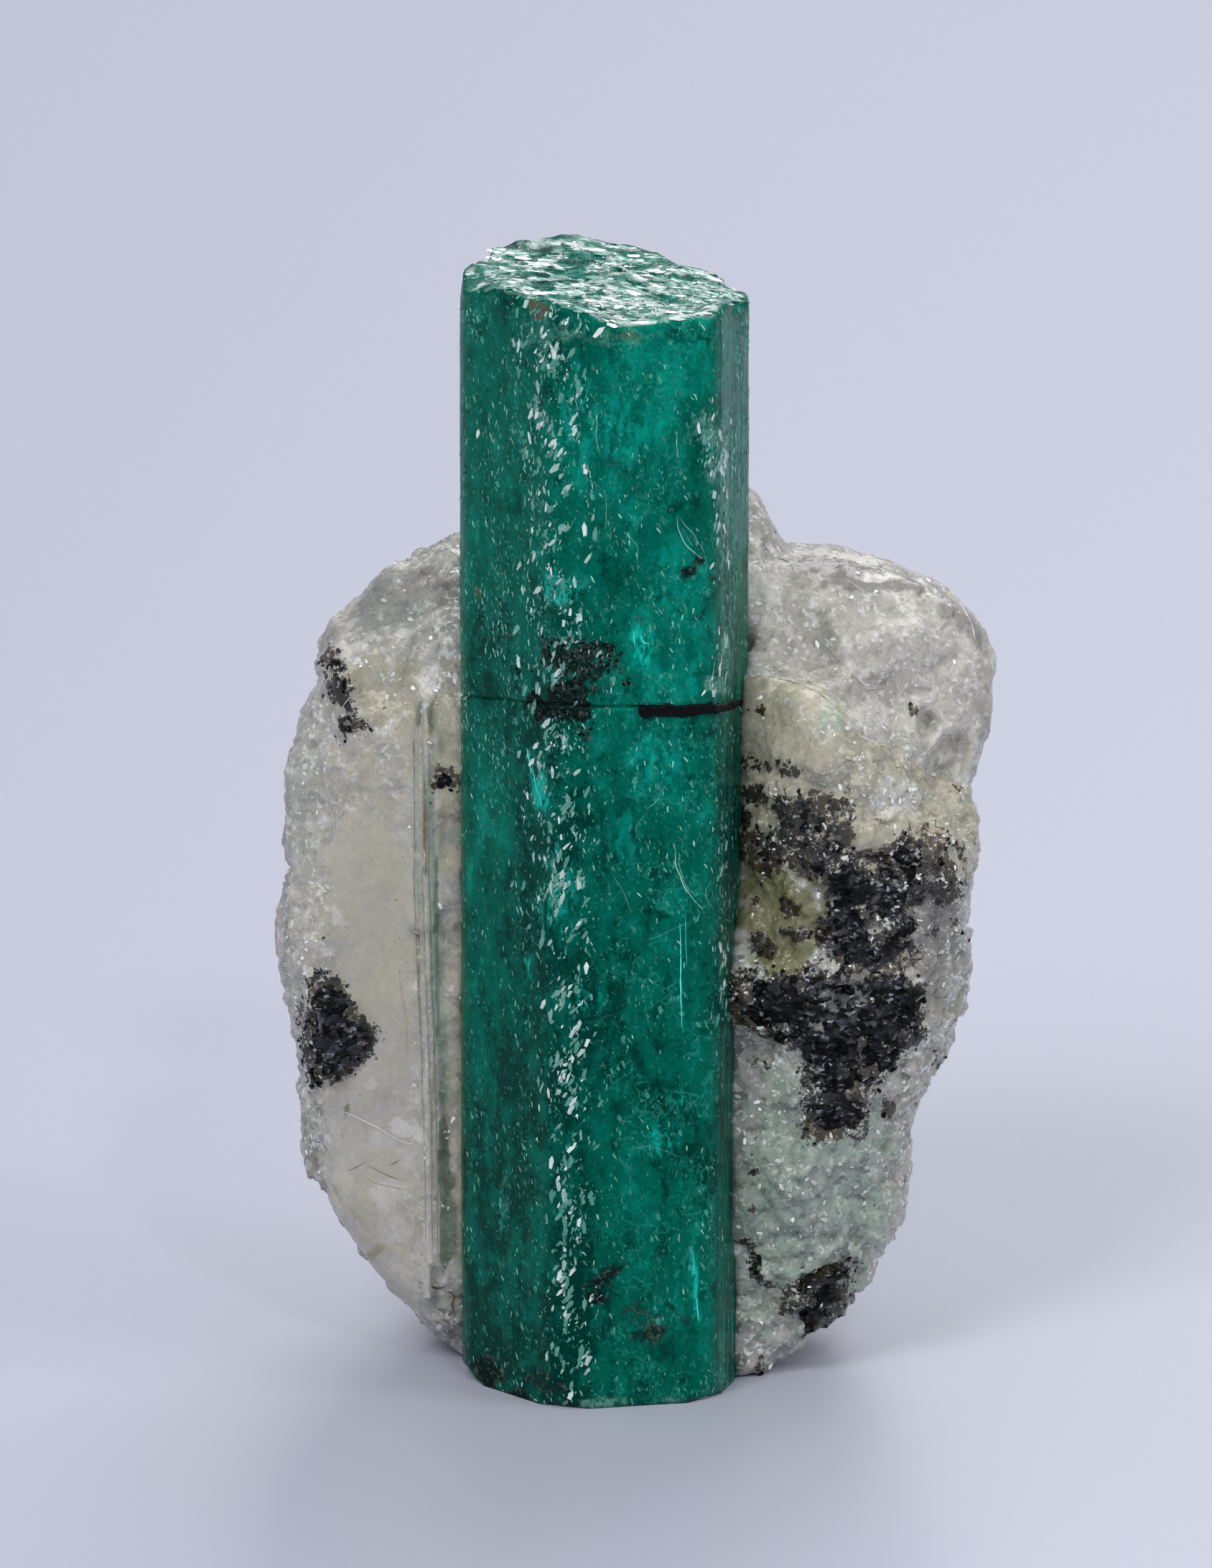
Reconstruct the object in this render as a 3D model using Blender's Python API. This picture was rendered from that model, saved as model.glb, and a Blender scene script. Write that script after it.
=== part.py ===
"""Emerald crystal grown in a milky quartz matrix that carries black biotite mica.

Metres, +Z up.  The crystal stands upright with its front towards -Y.  The origin is the
centre of the crystal's flat base, which the whole specimen rests on.
"""

import math

import bmesh
import bpy
from mathutils import Matrix, Vector, noise
from mathutils.bvhtree import BVHTree

MM = 0.001
GAP = 0.3 * MM

# ---- Emerald crystal: a six-sided prism, a little wider across one pair of faces --------
# Each face is (bearing of its outward normal in degrees, turned from the front towards +X,
# and its distance from the axis).
CRYSTAL_FACES = (
    (-46.0, 6.15 * MM),
    (11.0, 6.10 * MM),
    (73.0, 6.33 * MM),
    (134.0, 5.35 * MM),
    (194.0, 6.00 * MM),
    (254.0, 6.20 * MM),
)
CRYSTAL_TOP = 52.75 * MM
CRYSTAL_TOP_FALL = 0.09
CRYSTAL_STOCK_HEIGHT = 58.0 * MM
CRYSTAL_STOCK_WIDTH = 30.0 * MM
CRYSTAL_EDGE = 0.90 * MM
CRYSTAL_EDGE_LOSS = 0.24 * MM

TOP_GRID_HALF = 8.2 * MM
TOP_GRID_CELLS = 16
TOP_LEDGE = 0.28 * MM
TOP_LEDGE_SLOPE = 0.3
TOP_RELIEF = 0.55 * MM
TOP_GRAIN = (6.5 * MM, 2.1 * MM)
CUTTER_CLEARANCE = 2.0 * MM

# The broken top's own chips and lumps: (x, y, radius, height at the middle).
TOP_SPOTS = (
    (1.2 * MM, -6.9 * MM, 3.6 * MM, -0.75 * MM),
    (-7.0 * MM, -2.2 * MM, 2.6 * MM, -1.10 * MM),
    (-1.9 * MM, 6.2 * MM, 2.2 * MM, 0.55 * MM),
    (5.6 * MM, 1.8 * MM, 2.6 * MM, -0.35 * MM),
)

# Chips off the lower edge: (bearing, distance from the axis at the base, slope in degrees).
BASE_CHIPS = (
    (-75.0, 6.30 * MM, 38.0),
    (-17.0, 6.30 * MM, 30.0),
    (42.0, 6.60 * MM, 34.0),
)

# The crack that runs round the crystal, as a tilted plane.
CRACK_HEIGHT = 32.52 * MM
CRACK_RISE_X = -0.039
CRACK_RISE_Y = -0.221
CRACK_WIDTH = 0.26 * MM
CRACK_DEPTH = 0.42 * MM

# ---- Quartz matrix: wraps the crystal's back and both sides -----------------------------
# Outer rims, as (height, x).
LEFT_RIM = (
    (0.0, -6.6), (2.1, -8.8), (4.2, -10.8), (6.3, -12.2), (8.3, -13.6), (12.8, -14.3),
    (15.6, -14.5), (18.7, -15.0), (21.1, -15.4), (22.9, -15.0), (26.3, -15.2), (29.1, -15.0),
    (31.2, -14.0), (34.2, -13.5), (35.8, -12.5), (38.1, -10.3), (40.3, -6.9), (42.4, -4.6),
)
RIGHT_RIM = (
    (0.0, 8.0), (1.8, 10.9), (3.9, 12.4), (6.0, 13.2), (7.0, 14.0), (9.1, 14.1), (12.2, 14.5),
    (15.3, 15.7), (17.4, 16.4), (22.6, 16.9), (24.7, 17.1), (27.8, 17.1), (29.9, 17.7),
    (33.1, 18.4), (35.0, 17.8), (36.1, 16.7), (37.5, 14.8), (38.4, 12.2), (39.0, 8.9),
    (40.3, 8.0), (41.6, 7.4), (42.4, 6.2),
)
MATRIX_TOP = 42.4
FOOT_EDGE = 0.3 * MM
# Where the front goes over from the left plate to the seam beside the crystal, and from there
# to the lobe and the lump, as x.
PLATE_TO_SEAM = (-3.0, 5.6)
SEAM_TO_LOBE = (6.8, 9.4)
# Depth of the rims themselves, and of the back, as (height, y).
RIM_DEPTH = ((0.0, 3.4), (8.0, 2.6), (24.0, 3.2), (36.0, 4.6), (42.4, 7.0))
BACK_DEPTH = ((0.0, 10.4), (6.0, 12.2), (18.0, 13.2), (28.0, 12.6), (36.0, 11.6), (42.4, 8.6))
# Front surface beside the crystal and out on each lobe, as (height, y).
PLATE_FRONT = ((0.0, -0.9), (6.0, -1.0), (32.0, -0.9), (36.0, 0.2), (40.0, 2.4), (42.4, 5.6))
SEAM_FRONT = (
    (0.0, -2.4), (13.5, -2.9), (17.5, -2.6), (21.0, -2.4), (23.0, -1.3), (31.0, -1.2), (34.5, -0.4),
    (42.4, 5.6),
)
LUMP_FRONT = ((0.0, -2.2), (5.0, -3.9), (12.0, -4.5), (20.0, -4.2), (30.0, -4.3), (34.0, -3.6))
LOBE_FRONT = ((0.0, -2.0), (22.0, -1.0), (30.0, 0.4), (36.0, 1.2), (39.0, 3.2), (42.4, 5.6))
# Upper edge of the front-right lump, as (x, height).
LUMP_CREST = ((6.6, 34.2), (9.7, 33.6), (11.0, 32.6), (12.6, 30.2), (14.4, 27.2), (18.0, 25.4))
CREST_SOFTNESS = 0.7
LEVEL_STEP = 1.1
FINE_LEVEL_STEP = 0.62
FINE_LEVELS_FROM = 31.5
FRONT_POINTS = 36
BACK_POINTS = 24
FRONT_SQUARENESS = 4.3
BACK_SQUARENESS = 2.4

# Broken surface: broad lumps, flat facets and small knobs, as (size, depth), and how much of
# that relief shows along each axis, so that the rims keep their outline.
BROAD_LUMPS = (7.5 * MM, 1.30 * MM)
FACETS = (4.4 * MM, 1.25 * MM)
KNOBS = (1.9 * MM, 0.42 * MM)
RELIEF_REACH = (0.45, 1.0, 0.65)
# The calmer areas: the front up to y, the plate up to z and between two edges in x, and the
# strip beside the crystal.  Each edge is where the change starts and where it ends.
FRONT_EDGE = (1.0 * MM, 3.0 * MM)
PLATE_UPPER_EDGE = (30.5 * MM, 33.0 * MM)
PLATE_OUTER_EDGE = (-13.4 * MM, -12.0 * MM)
PLATE_INNER_EDGE = (-9.0 * MM, -8.0 * MM)
STRIP_LEFT_EDGE = (-8.5 * MM, -8.0 * MM)
STRIP_RIGHT_EDGE = (7.5 * MM, 9.0 * MM)
PLATE_ROUGHNESS = 0.16
STRIP_ROUGHNESS = 0.45
# Where each part of a noise vector is read.
NOISE_OFFSETS = (0.0, 31.7, 71.3)

# Thin upright ridges where the left plate's cleavage meets the crystal: (x, half width,
# how far it stands out, lower end, upper end).
PLATE_RIDGES = (
    (-8.35, 0.24, 0.62, 3.6, 32.6),
    (-7.80, 0.20, 0.42, 5.2, 31.2),
)
RIDGE_ROOT = 0.5 * MM
RIDGE_SINK = 0.45 * MM

# ---- Biotite mica masses ----------------------------------------------------------------
# Each outline is rows of (height, left x, right x).
MAIN_MASS = (
    (12.5, 9.6, 12.0), (15.1, 9.4, 12.3), (16.7, 9.1, 14.5), (17.6, 7.2, 15.0),
    (18.4, 5.8, 15.4), (20.0, 5.8, 15.8), (20.8, 8.4, 16.0), (22.0, 10.0, 16.2),
    (23.2, 9.8, 16.2), (24.4, 7.9, 16.1), (25.4, 7.0, 15.9), (26.5, 7.0, 14.9),
    (27.3, 7.3, 11.6), (28.8, 8.0, 10.8),
)
LOWER_RIGHT_MASS = ((2.4, 9.3, 10.4), (3.3, 8.7, 11.0), (4.4, 8.3, 11.2), (5.5, 10.0, 11.3))
UPPER_LEFT_MASS = (
    (30.4, -12.2, -11.3), (31.4, -12.5, -11.2), (32.4, -12.7, -11.8), (33.4, -12.8, -12.1),
    (34.3, -12.7, -12.2),
)
LOWER_LEFT_MASS = (
    (14.4, -13.6, -12.5), (15.4, -13.8, -11.1), (16.2, -13.7, -10.8), (17.1, -13.8, -11.7),
    (18.1, -13.8, -12.0), (19.0, -13.7, -12.8),
)
RIDGE_SPECK = ((28.5, -7.95, -7.1), (29.4, -7.6, -7.2))
CRYSTAL_CLOT = (
    (33.0, -2.6, -0.7), (33.9, -3.1, -0.3), (35.2, -3.3, 0.4), (36.3, -3.0, 0.7),
    (37.1, -2.2, -0.6),
)
MASSES_ON_MATRIX = {
    "biotite_main_mass": MAIN_MASS,
    "biotite_lower_right": LOWER_RIGHT_MASS,
    "biotite_upper_left": UPPER_LEFT_MASS,
    "biotite_lower_left": LOWER_LEFT_MASS,
    "biotite_ridge_speck": RIDGE_SPECK,
}
MICA_CELL = 0.85
MICA_SHIFT = 0.30
MICA_SHIFT_SCALE = 1.2
MICA_GRAIN = 1.1 * MM
MICA_PROUD = 0.45 * MM
MICA_BURIED = 1.25 * MM
MICA_RELIEF = 0.70 * MM
MICA_RIM_RISE = 0.35
CLOT_PROUD = 0.12 * MM
CLOT_BURIED = 0.75 * MM
CLOT_RELIEF = 0.22 * MM
POCKET_REACH = 9.0 * MM
VIEW_REACH = 40.0 * MM
# Where the main mass stands highest, over the crystal's edge: (x, z, radius, height).
TONGUE = (7.0 * MM, 19.3 * MM, 3.2 * MM, 0.75 * MM)

# The mica bar in the crack: how far along the right-front face it starts, how far round the
# right corner it ends, and its steps on each face.
SEAM_BAR_HEIGHT = 0.62 * MM
SEAM_BAR_PROUD = 0.10 * MM
SEAM_BAR_BURIED = 0.70 * MM
SEAM_BAR_UNEVEN = 0.14 * MM
SEAM_BAR_FROM = 3.70 * MM
SEAM_BAR_TO = 4.20 * MM
SEAM_BAR_STEPS = 5

# ---- Surface finishes: linear colour, roughness ------------------------------------------
EMERALD_GREEN = (0.004, 0.120, 0.072)
QUARTZ_MILK = (0.400, 0.380, 0.350)
BIOTITE_BLACK = (0.018, 0.016, 0.018)


def clear_scene():
    """Remove everything that a new file starts with."""
    for leftover in list(bpy.data.objects):
        bpy.data.objects.remove(leftover, do_unlink=True)


def new_collection(name):
    """Add a collection to the scene."""
    collection = bpy.data.collections.new(name)
    bpy.context.scene.collection.children.link(collection)
    return collection


def finish(name, colour, roughness, metallic=0.0, transmission=0.0, ior=1.5):
    """Make a plain Principled material."""
    material = bpy.data.materials.new(name)
    material.use_nodes = True
    shader = material.node_tree.nodes["Principled BSDF"]
    shader.inputs["Base Color"].default_value = (*colour, 1.0)
    shader.inputs["Roughness"].default_value = roughness
    shader.inputs["Metallic"].default_value = metallic
    shader.inputs["Transmission Weight"].default_value = transmission
    shader.inputs["IOR"].default_value = ior
    material.diffuse_color = (*colour, 1.0)
    return material


def new_object(name, form, collection, material=None):
    """Turn a bmesh into an object with its faces pointing out."""
    bmesh.ops.recalc_face_normals(form, faces=form.faces)
    mesh = bpy.data.meshes.new(name)
    form.to_mesh(mesh)
    form.free()
    made = bpy.data.objects.new(name, mesh)
    collection.objects.link(made)
    if material:
        mesh.materials.append(material)
    return made


def new_cutter(name, form, collection):
    """Make an object that only shapes its neighbours."""
    cutter = new_object(name, form, collection)
    cutter.hide_render = True
    cutter.display_type = "WIRE"
    return cutter


def combine(target, other, operation):
    """Put an exact Boolean modifier on the target."""
    modifier = target.modifiers.new(f"{operation.lower()} {other.name}", "BOOLEAN")
    modifier.operation = operation
    modifier.object = other
    modifier.solver = "EXACT"


def ease(low, high, value):
    """Rise smoothly from 0 at low to 1 at high."""
    share = min(1.0, max(0.0, (value - low) / (high - low)))
    return share * share * (3.0 - 2.0 * share)


def blend(first, second, share):
    """Go from the first value to the second."""
    return first + (second - first) * share


def read_curve(points, position):
    """Read a curve given as (position, value) points."""
    if position <= points[0][0]:
        return points[0][1]
    for (start, first), (end, second) in zip(points, points[1:]):
        if position <= end:
            return blend(first, second, (position - start) / (end - start))
    return points[-1][1]


def noise_vector(place):
    """A vector that changes smoothly from place to place, the same at every build."""
    return Vector(noise.noise(place + Vector((offset, 0.0, 0.0))) for offset in NOISE_OFFSETS)


# ---- Emerald crystal ----------------------------------------------------------------------


def bearing_vector(bearing):
    """Horizontal unit vector at a bearing turned from the front towards +X."""
    angle = math.radians(bearing)
    return Vector((math.sin(angle), -math.cos(angle), 0.0))


def crystal_corners():
    """Corners of the crystal's cross-section, where neighbouring faces would meet."""
    corners = []
    for index, (bearing, near) in enumerate(CRYSTAL_FACES):
        next_bearing, far = CRYSTAL_FACES[(index + 1) % len(CRYSTAL_FACES)]
        normal, next_normal = bearing_vector(bearing), bearing_vector(next_bearing)
        turn = normal.dot(next_normal)
        scale = 1.0 - turn * turn
        corners.append(
            normal * ((near - far * turn) / scale) + next_normal * ((far - near * turn) / scale)
        )
    return corners


def crystal_front(x):
    """Depth of the crystal's front surface at x, its upright edges rounded."""
    depths = []
    for bearing, distance in CRYSTAL_FACES[:3]:
        normal = bearing_vector(bearing)
        depths.append((distance - normal.x * x) / normal.y)
    second, nearest = sorted(depths)[-2:]
    softness = 4.0 * CRYSTAL_EDGE_LOSS
    closeness = max(0.0, 1.0 - (nearest - second) / softness)
    return nearest + CRYSTAL_EDGE_LOSS * closeness * closeness


def cleave(form, point, normal):
    """Cut away what lies beyond a plane and close the cut with a flat face."""
    everything = form.verts[:] + form.edges[:] + form.faces[:]
    cut = bmesh.ops.bisect_plane(
        form, geom=everything, plane_co=point, plane_no=normal, clear_outer=True
    )
    rim = [item for item in cut["geom_cut"] if isinstance(item, bmesh.types.BMEdge)]
    bmesh.ops.contextual_create(form, geom=rim)


def prism(grow, bottom, top):
    """The crystal's six-sided prism, its faces moved out by grow."""
    form = bmesh.new()
    bmesh.ops.create_cube(form, size=1.0)
    stretch = Matrix.Diagonal((CRYSTAL_STOCK_WIDTH, CRYSTAL_STOCK_WIDTH, top - bottom, 1.0))
    lift = Matrix.Translation((0.0, 0.0, (top + bottom) / 2.0))
    bmesh.ops.transform(form, matrix=lift @ stretch, verts=form.verts)
    for bearing, distance in CRYSTAL_FACES:
        normal = bearing_vector(bearing)
        cleave(form, normal * (distance + grow), normal)
    return form


def crack_height(x, y):
    """Height of the crack's plane."""
    return CRACK_HEIGHT + CRACK_RISE_X * x + CRACK_RISE_Y * y


def broken_top(x, y):
    """Height of the crystal's broken top, in ledges that run sideways."""
    height = CRYSTAL_TOP - CRYSTAL_TOP_FALL * x
    grain_x, grain_y = TOP_GRAIN
    relief = noise.noise(Vector((x / grain_x, y / grain_y, 3.7))) * TOP_RELIEF
    ledges = math.floor(relief / TOP_LEDGE) * TOP_LEDGE
    height += blend(ledges, relief, TOP_LEDGE_SLOPE)
    for spot_x, spot_y, radius, lift in TOP_SPOTS:
        distance = math.hypot(x - spot_x, y - spot_y)
        height += lift * (1.0 - ease(0.0, radius, distance))
    return height


def build_top_cutter(collection):
    """Everything above the broken top."""
    form = bmesh.new()
    bmesh.ops.create_grid(
        form, x_segments=TOP_GRID_CELLS, y_segments=TOP_GRID_CELLS, size=TOP_GRID_HALF
    )
    for vertex in form.verts:
        vertex.co.z = broken_top(vertex.co.x, vertex.co.y)
    bmesh.ops.triangulate(form, faces=form.faces)
    lifted = bmesh.ops.extrude_face_region(form, geom=form.faces[:])
    for item in lifted["geom"]:
        if isinstance(item, bmesh.types.BMVert):
            item.co.z = CRYSTAL_STOCK_HEIGHT + CUTTER_CLEARANCE
    return new_cutter("top_cutter", form, collection)


def build_crack_cutter(collection):
    """A thin tilted ring that opens the crack round the crystal's faces."""
    bottom, top = -CRACK_WIDTH / 2.0, CRACK_WIDTH / 2.0
    outer = prism(CUTTER_CLEARANCE, bottom, top)
    inner = prism(-CRACK_DEPTH, bottom - CUTTER_CLEARANCE, top + CUTTER_CLEARANCE)
    ring = new_cutter("crack_ring", outer, collection)
    core = new_cutter("crack_core", inner, collection)
    for cutter in (ring, core):
        for vertex in cutter.data.vertices:
            vertex.co.z += crack_height(vertex.co.x, vertex.co.y)
    combine(ring, core, "DIFFERENCE")
    return ring


def build_crystal(collection, cutters, material):
    """The emerald prism with rounded edges, a broken top, a crack and a chipped base."""
    form = prism(0.0, 0.0, CRYSTAL_STOCK_HEIGHT)
    upright = [
        edge for edge in form.edges
        if abs(edge.verts[0].co.z - edge.verts[1].co.z) > CRYSTAL_STOCK_HEIGHT / 2.0
    ]
    bmesh.ops.bevel(
        form, geom=upright, offset=CRYSTAL_EDGE, segments=3, profile=0.5, affect="EDGES"
    )
    for bearing, reach, slope in BASE_CHIPS:
        outward = bearing_vector(bearing)
        tilt = math.radians(slope)
        normal = outward * math.cos(tilt) - Vector((0.0, 0.0, math.sin(tilt)))
        cleave(form, outward * reach, normal)
    crystal = new_object("emerald_crystal", form, collection, material)
    combine(crystal, build_top_cutter(cutters), "DIFFERENCE")
    combine(crystal, build_crack_cutter(cutters), "DIFFERENCE")
    return crystal


# ---- Quartz matrix ------------------------------------------------------------------------


def front_depth(x, z):
    """Depth of the matrix's front before it rounds off to the rims; all in millimetres."""
    plate = read_curve(PLATE_FRONT, z)
    seam = read_curve(SEAM_FRONT, z)
    lump = read_curve(LUMP_FRONT, z)
    lobe = read_curve(LOBE_FRONT, z)
    crest = read_curve(LUMP_CREST, x)
    under_crest = 1.0 - ease(crest - CREST_SOFTNESS, crest + CREST_SOFTNESS, z)
    outer = blend(lobe, lump, under_crest)
    beside = blend(seam, outer, ease(*SEAM_TO_LOBE, x))
    return blend(plate, beside, ease(*PLATE_TO_SEAM, x))


def section_depth(x, z, front):
    """Depth of the matrix at x and z, on its front or its back; all in millimetres."""
    left, right = read_curve(LEFT_RIM, z), read_curve(RIGHT_RIM, z)
    middle = (left + right) / 2.0
    share = min(1.0, abs((x - middle) / ((right - left) / 2.0)))
    rim = read_curve(RIM_DEPTH, z)
    if front:
        squareness, depth = FRONT_SQUARENESS, front_depth(x, z)
    else:
        squareness, depth = BACK_SQUARENESS, read_curve(BACK_DEPTH, z)
    return rim + (depth - rim) * (1.0 - share ** squareness) ** (1.0 / squareness)


def matrix_ring(z):
    """The matrix's outline at a height: its front from left to right, then its back."""
    left, right = read_curve(LEFT_RIM, z), read_curve(RIGHT_RIM, z)
    middle, half = (left + right) / 2.0, (right - left) / 2.0
    ring = []
    for index in range(FRONT_POINTS):
        x = middle - half * math.cos(math.pi * index / FRONT_POINTS)
        ring.append(Vector((x, section_depth(x, z, True), z)) * MM)
    for index in range(BACK_POINTS):
        x = middle + half * math.cos(math.pi * index / BACK_POINTS)
        ring.append(Vector((x, section_depth(x, z, False), z)) * MM)
    return ring


def matrix_levels():
    """Heights of the matrix's rings, closer together towards the top."""
    levels, height = [0.0], LEVEL_STEP
    while height < MATRIX_TOP - FINE_LEVEL_STEP / 2.0:
        levels.append(height)
        height += LEVEL_STEP if height < FINE_LEVELS_FROM else FINE_LEVEL_STEP
    levels.append(MATRIX_TOP)
    return levels


def facet(point, size, depth):
    """Height of the flat facet at a point; each has its own level and lean."""
    middle = noise.voronoi(point / size)[1][0]
    lean = noise_vector(middle * 7.3)
    level = noise.noise(middle * 3.1)
    return depth * (lean.dot(point / size - middle) + level)


def rock_relief(point):
    """How far the matrix's surface stands in or out at a point."""
    size, depth = BROAD_LUMPS
    broad = noise.noise(point / size) * depth
    size, depth = KNOBS
    knobs = (0.5 - noise.voronoi(point / size)[0][0]) * depth
    relief = broad + facet(point, *FACETS) + knobs
    front = 1.0 - ease(*FRONT_EDGE, point.y)
    low = 1.0 - ease(*PLATE_UPPER_EDGE, point.z)
    on_plate = ease(*PLATE_OUTER_EDGE, point.x) * (1.0 - ease(*PLATE_INNER_EDGE, point.x))
    on_strip = ease(*STRIP_LEFT_EDGE, point.x) * (1.0 - ease(*STRIP_RIGHT_EDGE, point.x))
    relief *= blend(1.0, PLATE_ROUGHNESS, front * low * on_plate)
    return relief * blend(1.0, STRIP_ROUGHNESS, front * on_strip)


def build_matrix(collection, material):
    """The quartz body: rings from the foot to the top, broken into lumps and facets."""
    form = bmesh.new()
    rings = [[form.verts.new(place) for place in matrix_ring(level)] for level in matrix_levels()]
    for lower, upper in zip(rings, rings[1:]):
        for index, corner in enumerate(lower):
            following = (index + 1) % len(lower)
            form.faces.new((corner, lower[following], upper[following], upper[index]))
    form.faces.new(rings[-1])
    form.faces.new(list(reversed(rings[0])))
    bmesh.ops.recalc_face_normals(form, faces=form.faces)
    form.normal_update()
    moves = [(vertex, vertex.normal * rock_relief(vertex.co)) for vertex in form.verts]
    foot = set(rings[0])
    for vertex, move in moves:
        if vertex in foot:
            continue
        vertex.co += Vector(part * reach for part, reach in zip(move, RELIEF_REACH))
        vertex.co.z = max(vertex.co.z, FOOT_EDGE)
    bmesh.ops.triangulate(form, faces=form.faces)
    shell = BVHTree.FromBMesh(form)
    return new_object("quartz_matrix", form, collection, material), shell


def build_ridge(index, ridge, collection):
    """One upright ridge of the left plate, pointed at both ends."""
    x, half_width, stand, bottom, top = (value * MM for value in ridge)
    form = bmesh.new()
    bmesh.ops.create_cone(
        form, cap_ends=True, segments=6, radius1=half_width, radius2=half_width, depth=top - bottom
    )
    bmesh.ops.transform(
        form, matrix=Matrix.Translation((x, 0.0, (top + bottom) / 2.0)), verts=form.verts
    )
    front = section_depth(x / MM, (top + bottom) / 2.0 / MM, True) * MM
    stretch = (stand + RIDGE_ROOT) / half_width
    for vertex in form.verts:
        vertex.co.y = vertex.co.y * stretch + front + RIDGE_SINK
    return new_cutter(f"plate_ridge_{index}", form, collection)


# ---- Biotite mica -------------------------------------------------------------------------


def mica_rows(outline):
    """Rows of a mass's outline about one cell apart."""
    bottom, top = outline[0][0], outline[-1][0]
    count = max(2, round((top - bottom) / MICA_CELL))
    lefts = [(row[0], row[1]) for row in outline]
    rights = [(row[0], row[2]) for row in outline]
    heights = [blend(bottom, top, index / count) for index in range(count + 1)]
    return [(z, read_curve(lefts, z), read_curve(rights, z)) for z in heights]


def surface_of(shell):
    """Reader of the depth of the matrix's front at x and z."""

    def matrix_front(x, z):
        """Depth of the front, swollen where the tongue lies on the crystal."""
        found = shell.ray_cast(Vector((x, -VIEW_REACH, z)), Vector((0.0, 1.0, 0.0)))[0]
        depth = found.y if found else section_depth(x / MM, z / MM, True) * MM
        tongue_x, tongue_z, radius, swell = TONGUE
        return depth - swell * (1.0 - ease(0.0, radius, math.hypot(x - tongue_x, z - tongue_z)))

    return matrix_front


def crystal_surface(x, _z):
    """Depth of the crystal's front at x."""
    return crystal_front(x)


def mica_sheet(outline, sheet, grow=0.0):
    """A blocky sheet of mica that follows a surface inside its outline, thinner at its rim.

    With grow it is the pocket for that sheet: larger all round, and open to the front.
    """
    surface, proud, buried, relief = sheet
    rows = mica_rows(outline)
    last_row = len(rows) - 1
    last_column = max(2, round(max(right - left for _z, left, right in rows) / MICA_CELL))
    form = bmesh.new()
    bmesh.ops.create_grid(form, x_segments=last_column, y_segments=last_row, size=0.5)
    sunk = bmesh.ops.extrude_face_region(form, geom=form.faces[:])
    backs = {item for item in sunk["geom"] if isinstance(item, bmesh.types.BMVert)}
    for vertex in form.verts:
        column = round((vertex.co.x + 0.5) * last_column)
        row = round((vertex.co.y + 0.5) * last_row)
        z, left, right = rows[row]
        x = blend(left, right, column / last_column)
        shift = noise_vector(Vector((x, 1.7, z)) / MICA_SHIFT_SCALE) * MICA_SHIFT
        x, z = (x + shift.x) * MM, (z + shift.z) * MM
        depth = surface(x, z)
        side = (column == last_column) - (column == 0)
        end = (row == last_row) - (row == 0)
        on_rim = bool(side or end)
        grown_x, grown_z = x + grow * side, z + grow * end
        if vertex in backs and grow:
            y = max(depth, surface(grown_x, grown_z)) + buried + grow
        elif vertex in backs:
            y = depth + buried * (1.0 - MICA_RIM_RISE * on_rim)
        elif grow:
            y = depth - POCKET_REACH
        else:
            y = depth - proud - relief * noise.noise(Vector((x, 5.0 * MM, z)) / MICA_GRAIN)
        vertex.co = (grown_x, y, grown_z)
    bmesh.ops.triangulate(form, faces=form.faces, quad_method="FIXED")
    return form


def build_mica(name, form, pocket_form, host, makings):
    """A mica mass set into a pocket in its host, with the gap all round."""
    collection, cutters, material = makings
    mass = new_object(name, form, collection, material)
    combine(host, new_cutter(f"{name}_pocket", pocket_form, cutters), "DIFFERENCE")
    return mass


def seam_bar(grow=0.0):
    """The flat mica bar in the crack, bent round the crystal's right corner.

    With grow it is the pocket for that bar.
    """
    start, corner, end = crystal_corners()[:3]
    first, second = (corner - start).normalized(), (end - corner).normalized()
    out_first, out_second = (bearing_vector(bearing) for bearing, _distance in CRYSTAL_FACES[1:3])
    mitre = (out_first + out_second) / (1.0 + out_first.dot(out_second))
    bend = (corner - start).length
    places = []
    for index in range(2 * SEAM_BAR_STEPS + 1):
        if index < SEAM_BAR_STEPS:
            along = blend(SEAM_BAR_FROM - grow, bend, index / SEAM_BAR_STEPS)
            places.append((start + first * along, out_first))
        elif index == SEAM_BAR_STEPS:
            places.append((corner, mitre))
        else:
            along = blend(0.0, SEAM_BAR_TO + grow, index / SEAM_BAR_STEPS - 1.0)
            places.append((corner + second * along, out_second))
    form = bmesh.new()
    bmesh.ops.create_grid(form, x_segments=len(places) - 1, y_segments=1, size=0.5)
    sunk = bmesh.ops.extrude_face_region(form, geom=form.faces[:])
    backs = {item for item in sunk["geom"] if isinstance(item, bmesh.types.BMVert)}
    for vertex in form.verts:
        index = round((vertex.co.x + 0.5) * (len(places) - 1))
        side = 1.0 if vertex.co.y > 0.0 else -1.0
        place, outward = places[index]
        uneven = noise.noise(Vector((index * 0.9, side * 2.0, 0.4))) * SEAM_BAR_UNEVEN
        stand = -SEAM_BAR_BURIED - grow
        if vertex not in backs:
            stand = POCKET_REACH if grow else SEAM_BAR_PROUD
        spot = place + outward * stand
        spot.z = crack_height(place.x, place.y) + side * (SEAM_BAR_HEIGHT / 2.0 + grow) + uneven
        vertex.co = spot
    bmesh.ops.triangulate(form, faces=form.faces, quad_method="FIXED")
    return form


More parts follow.
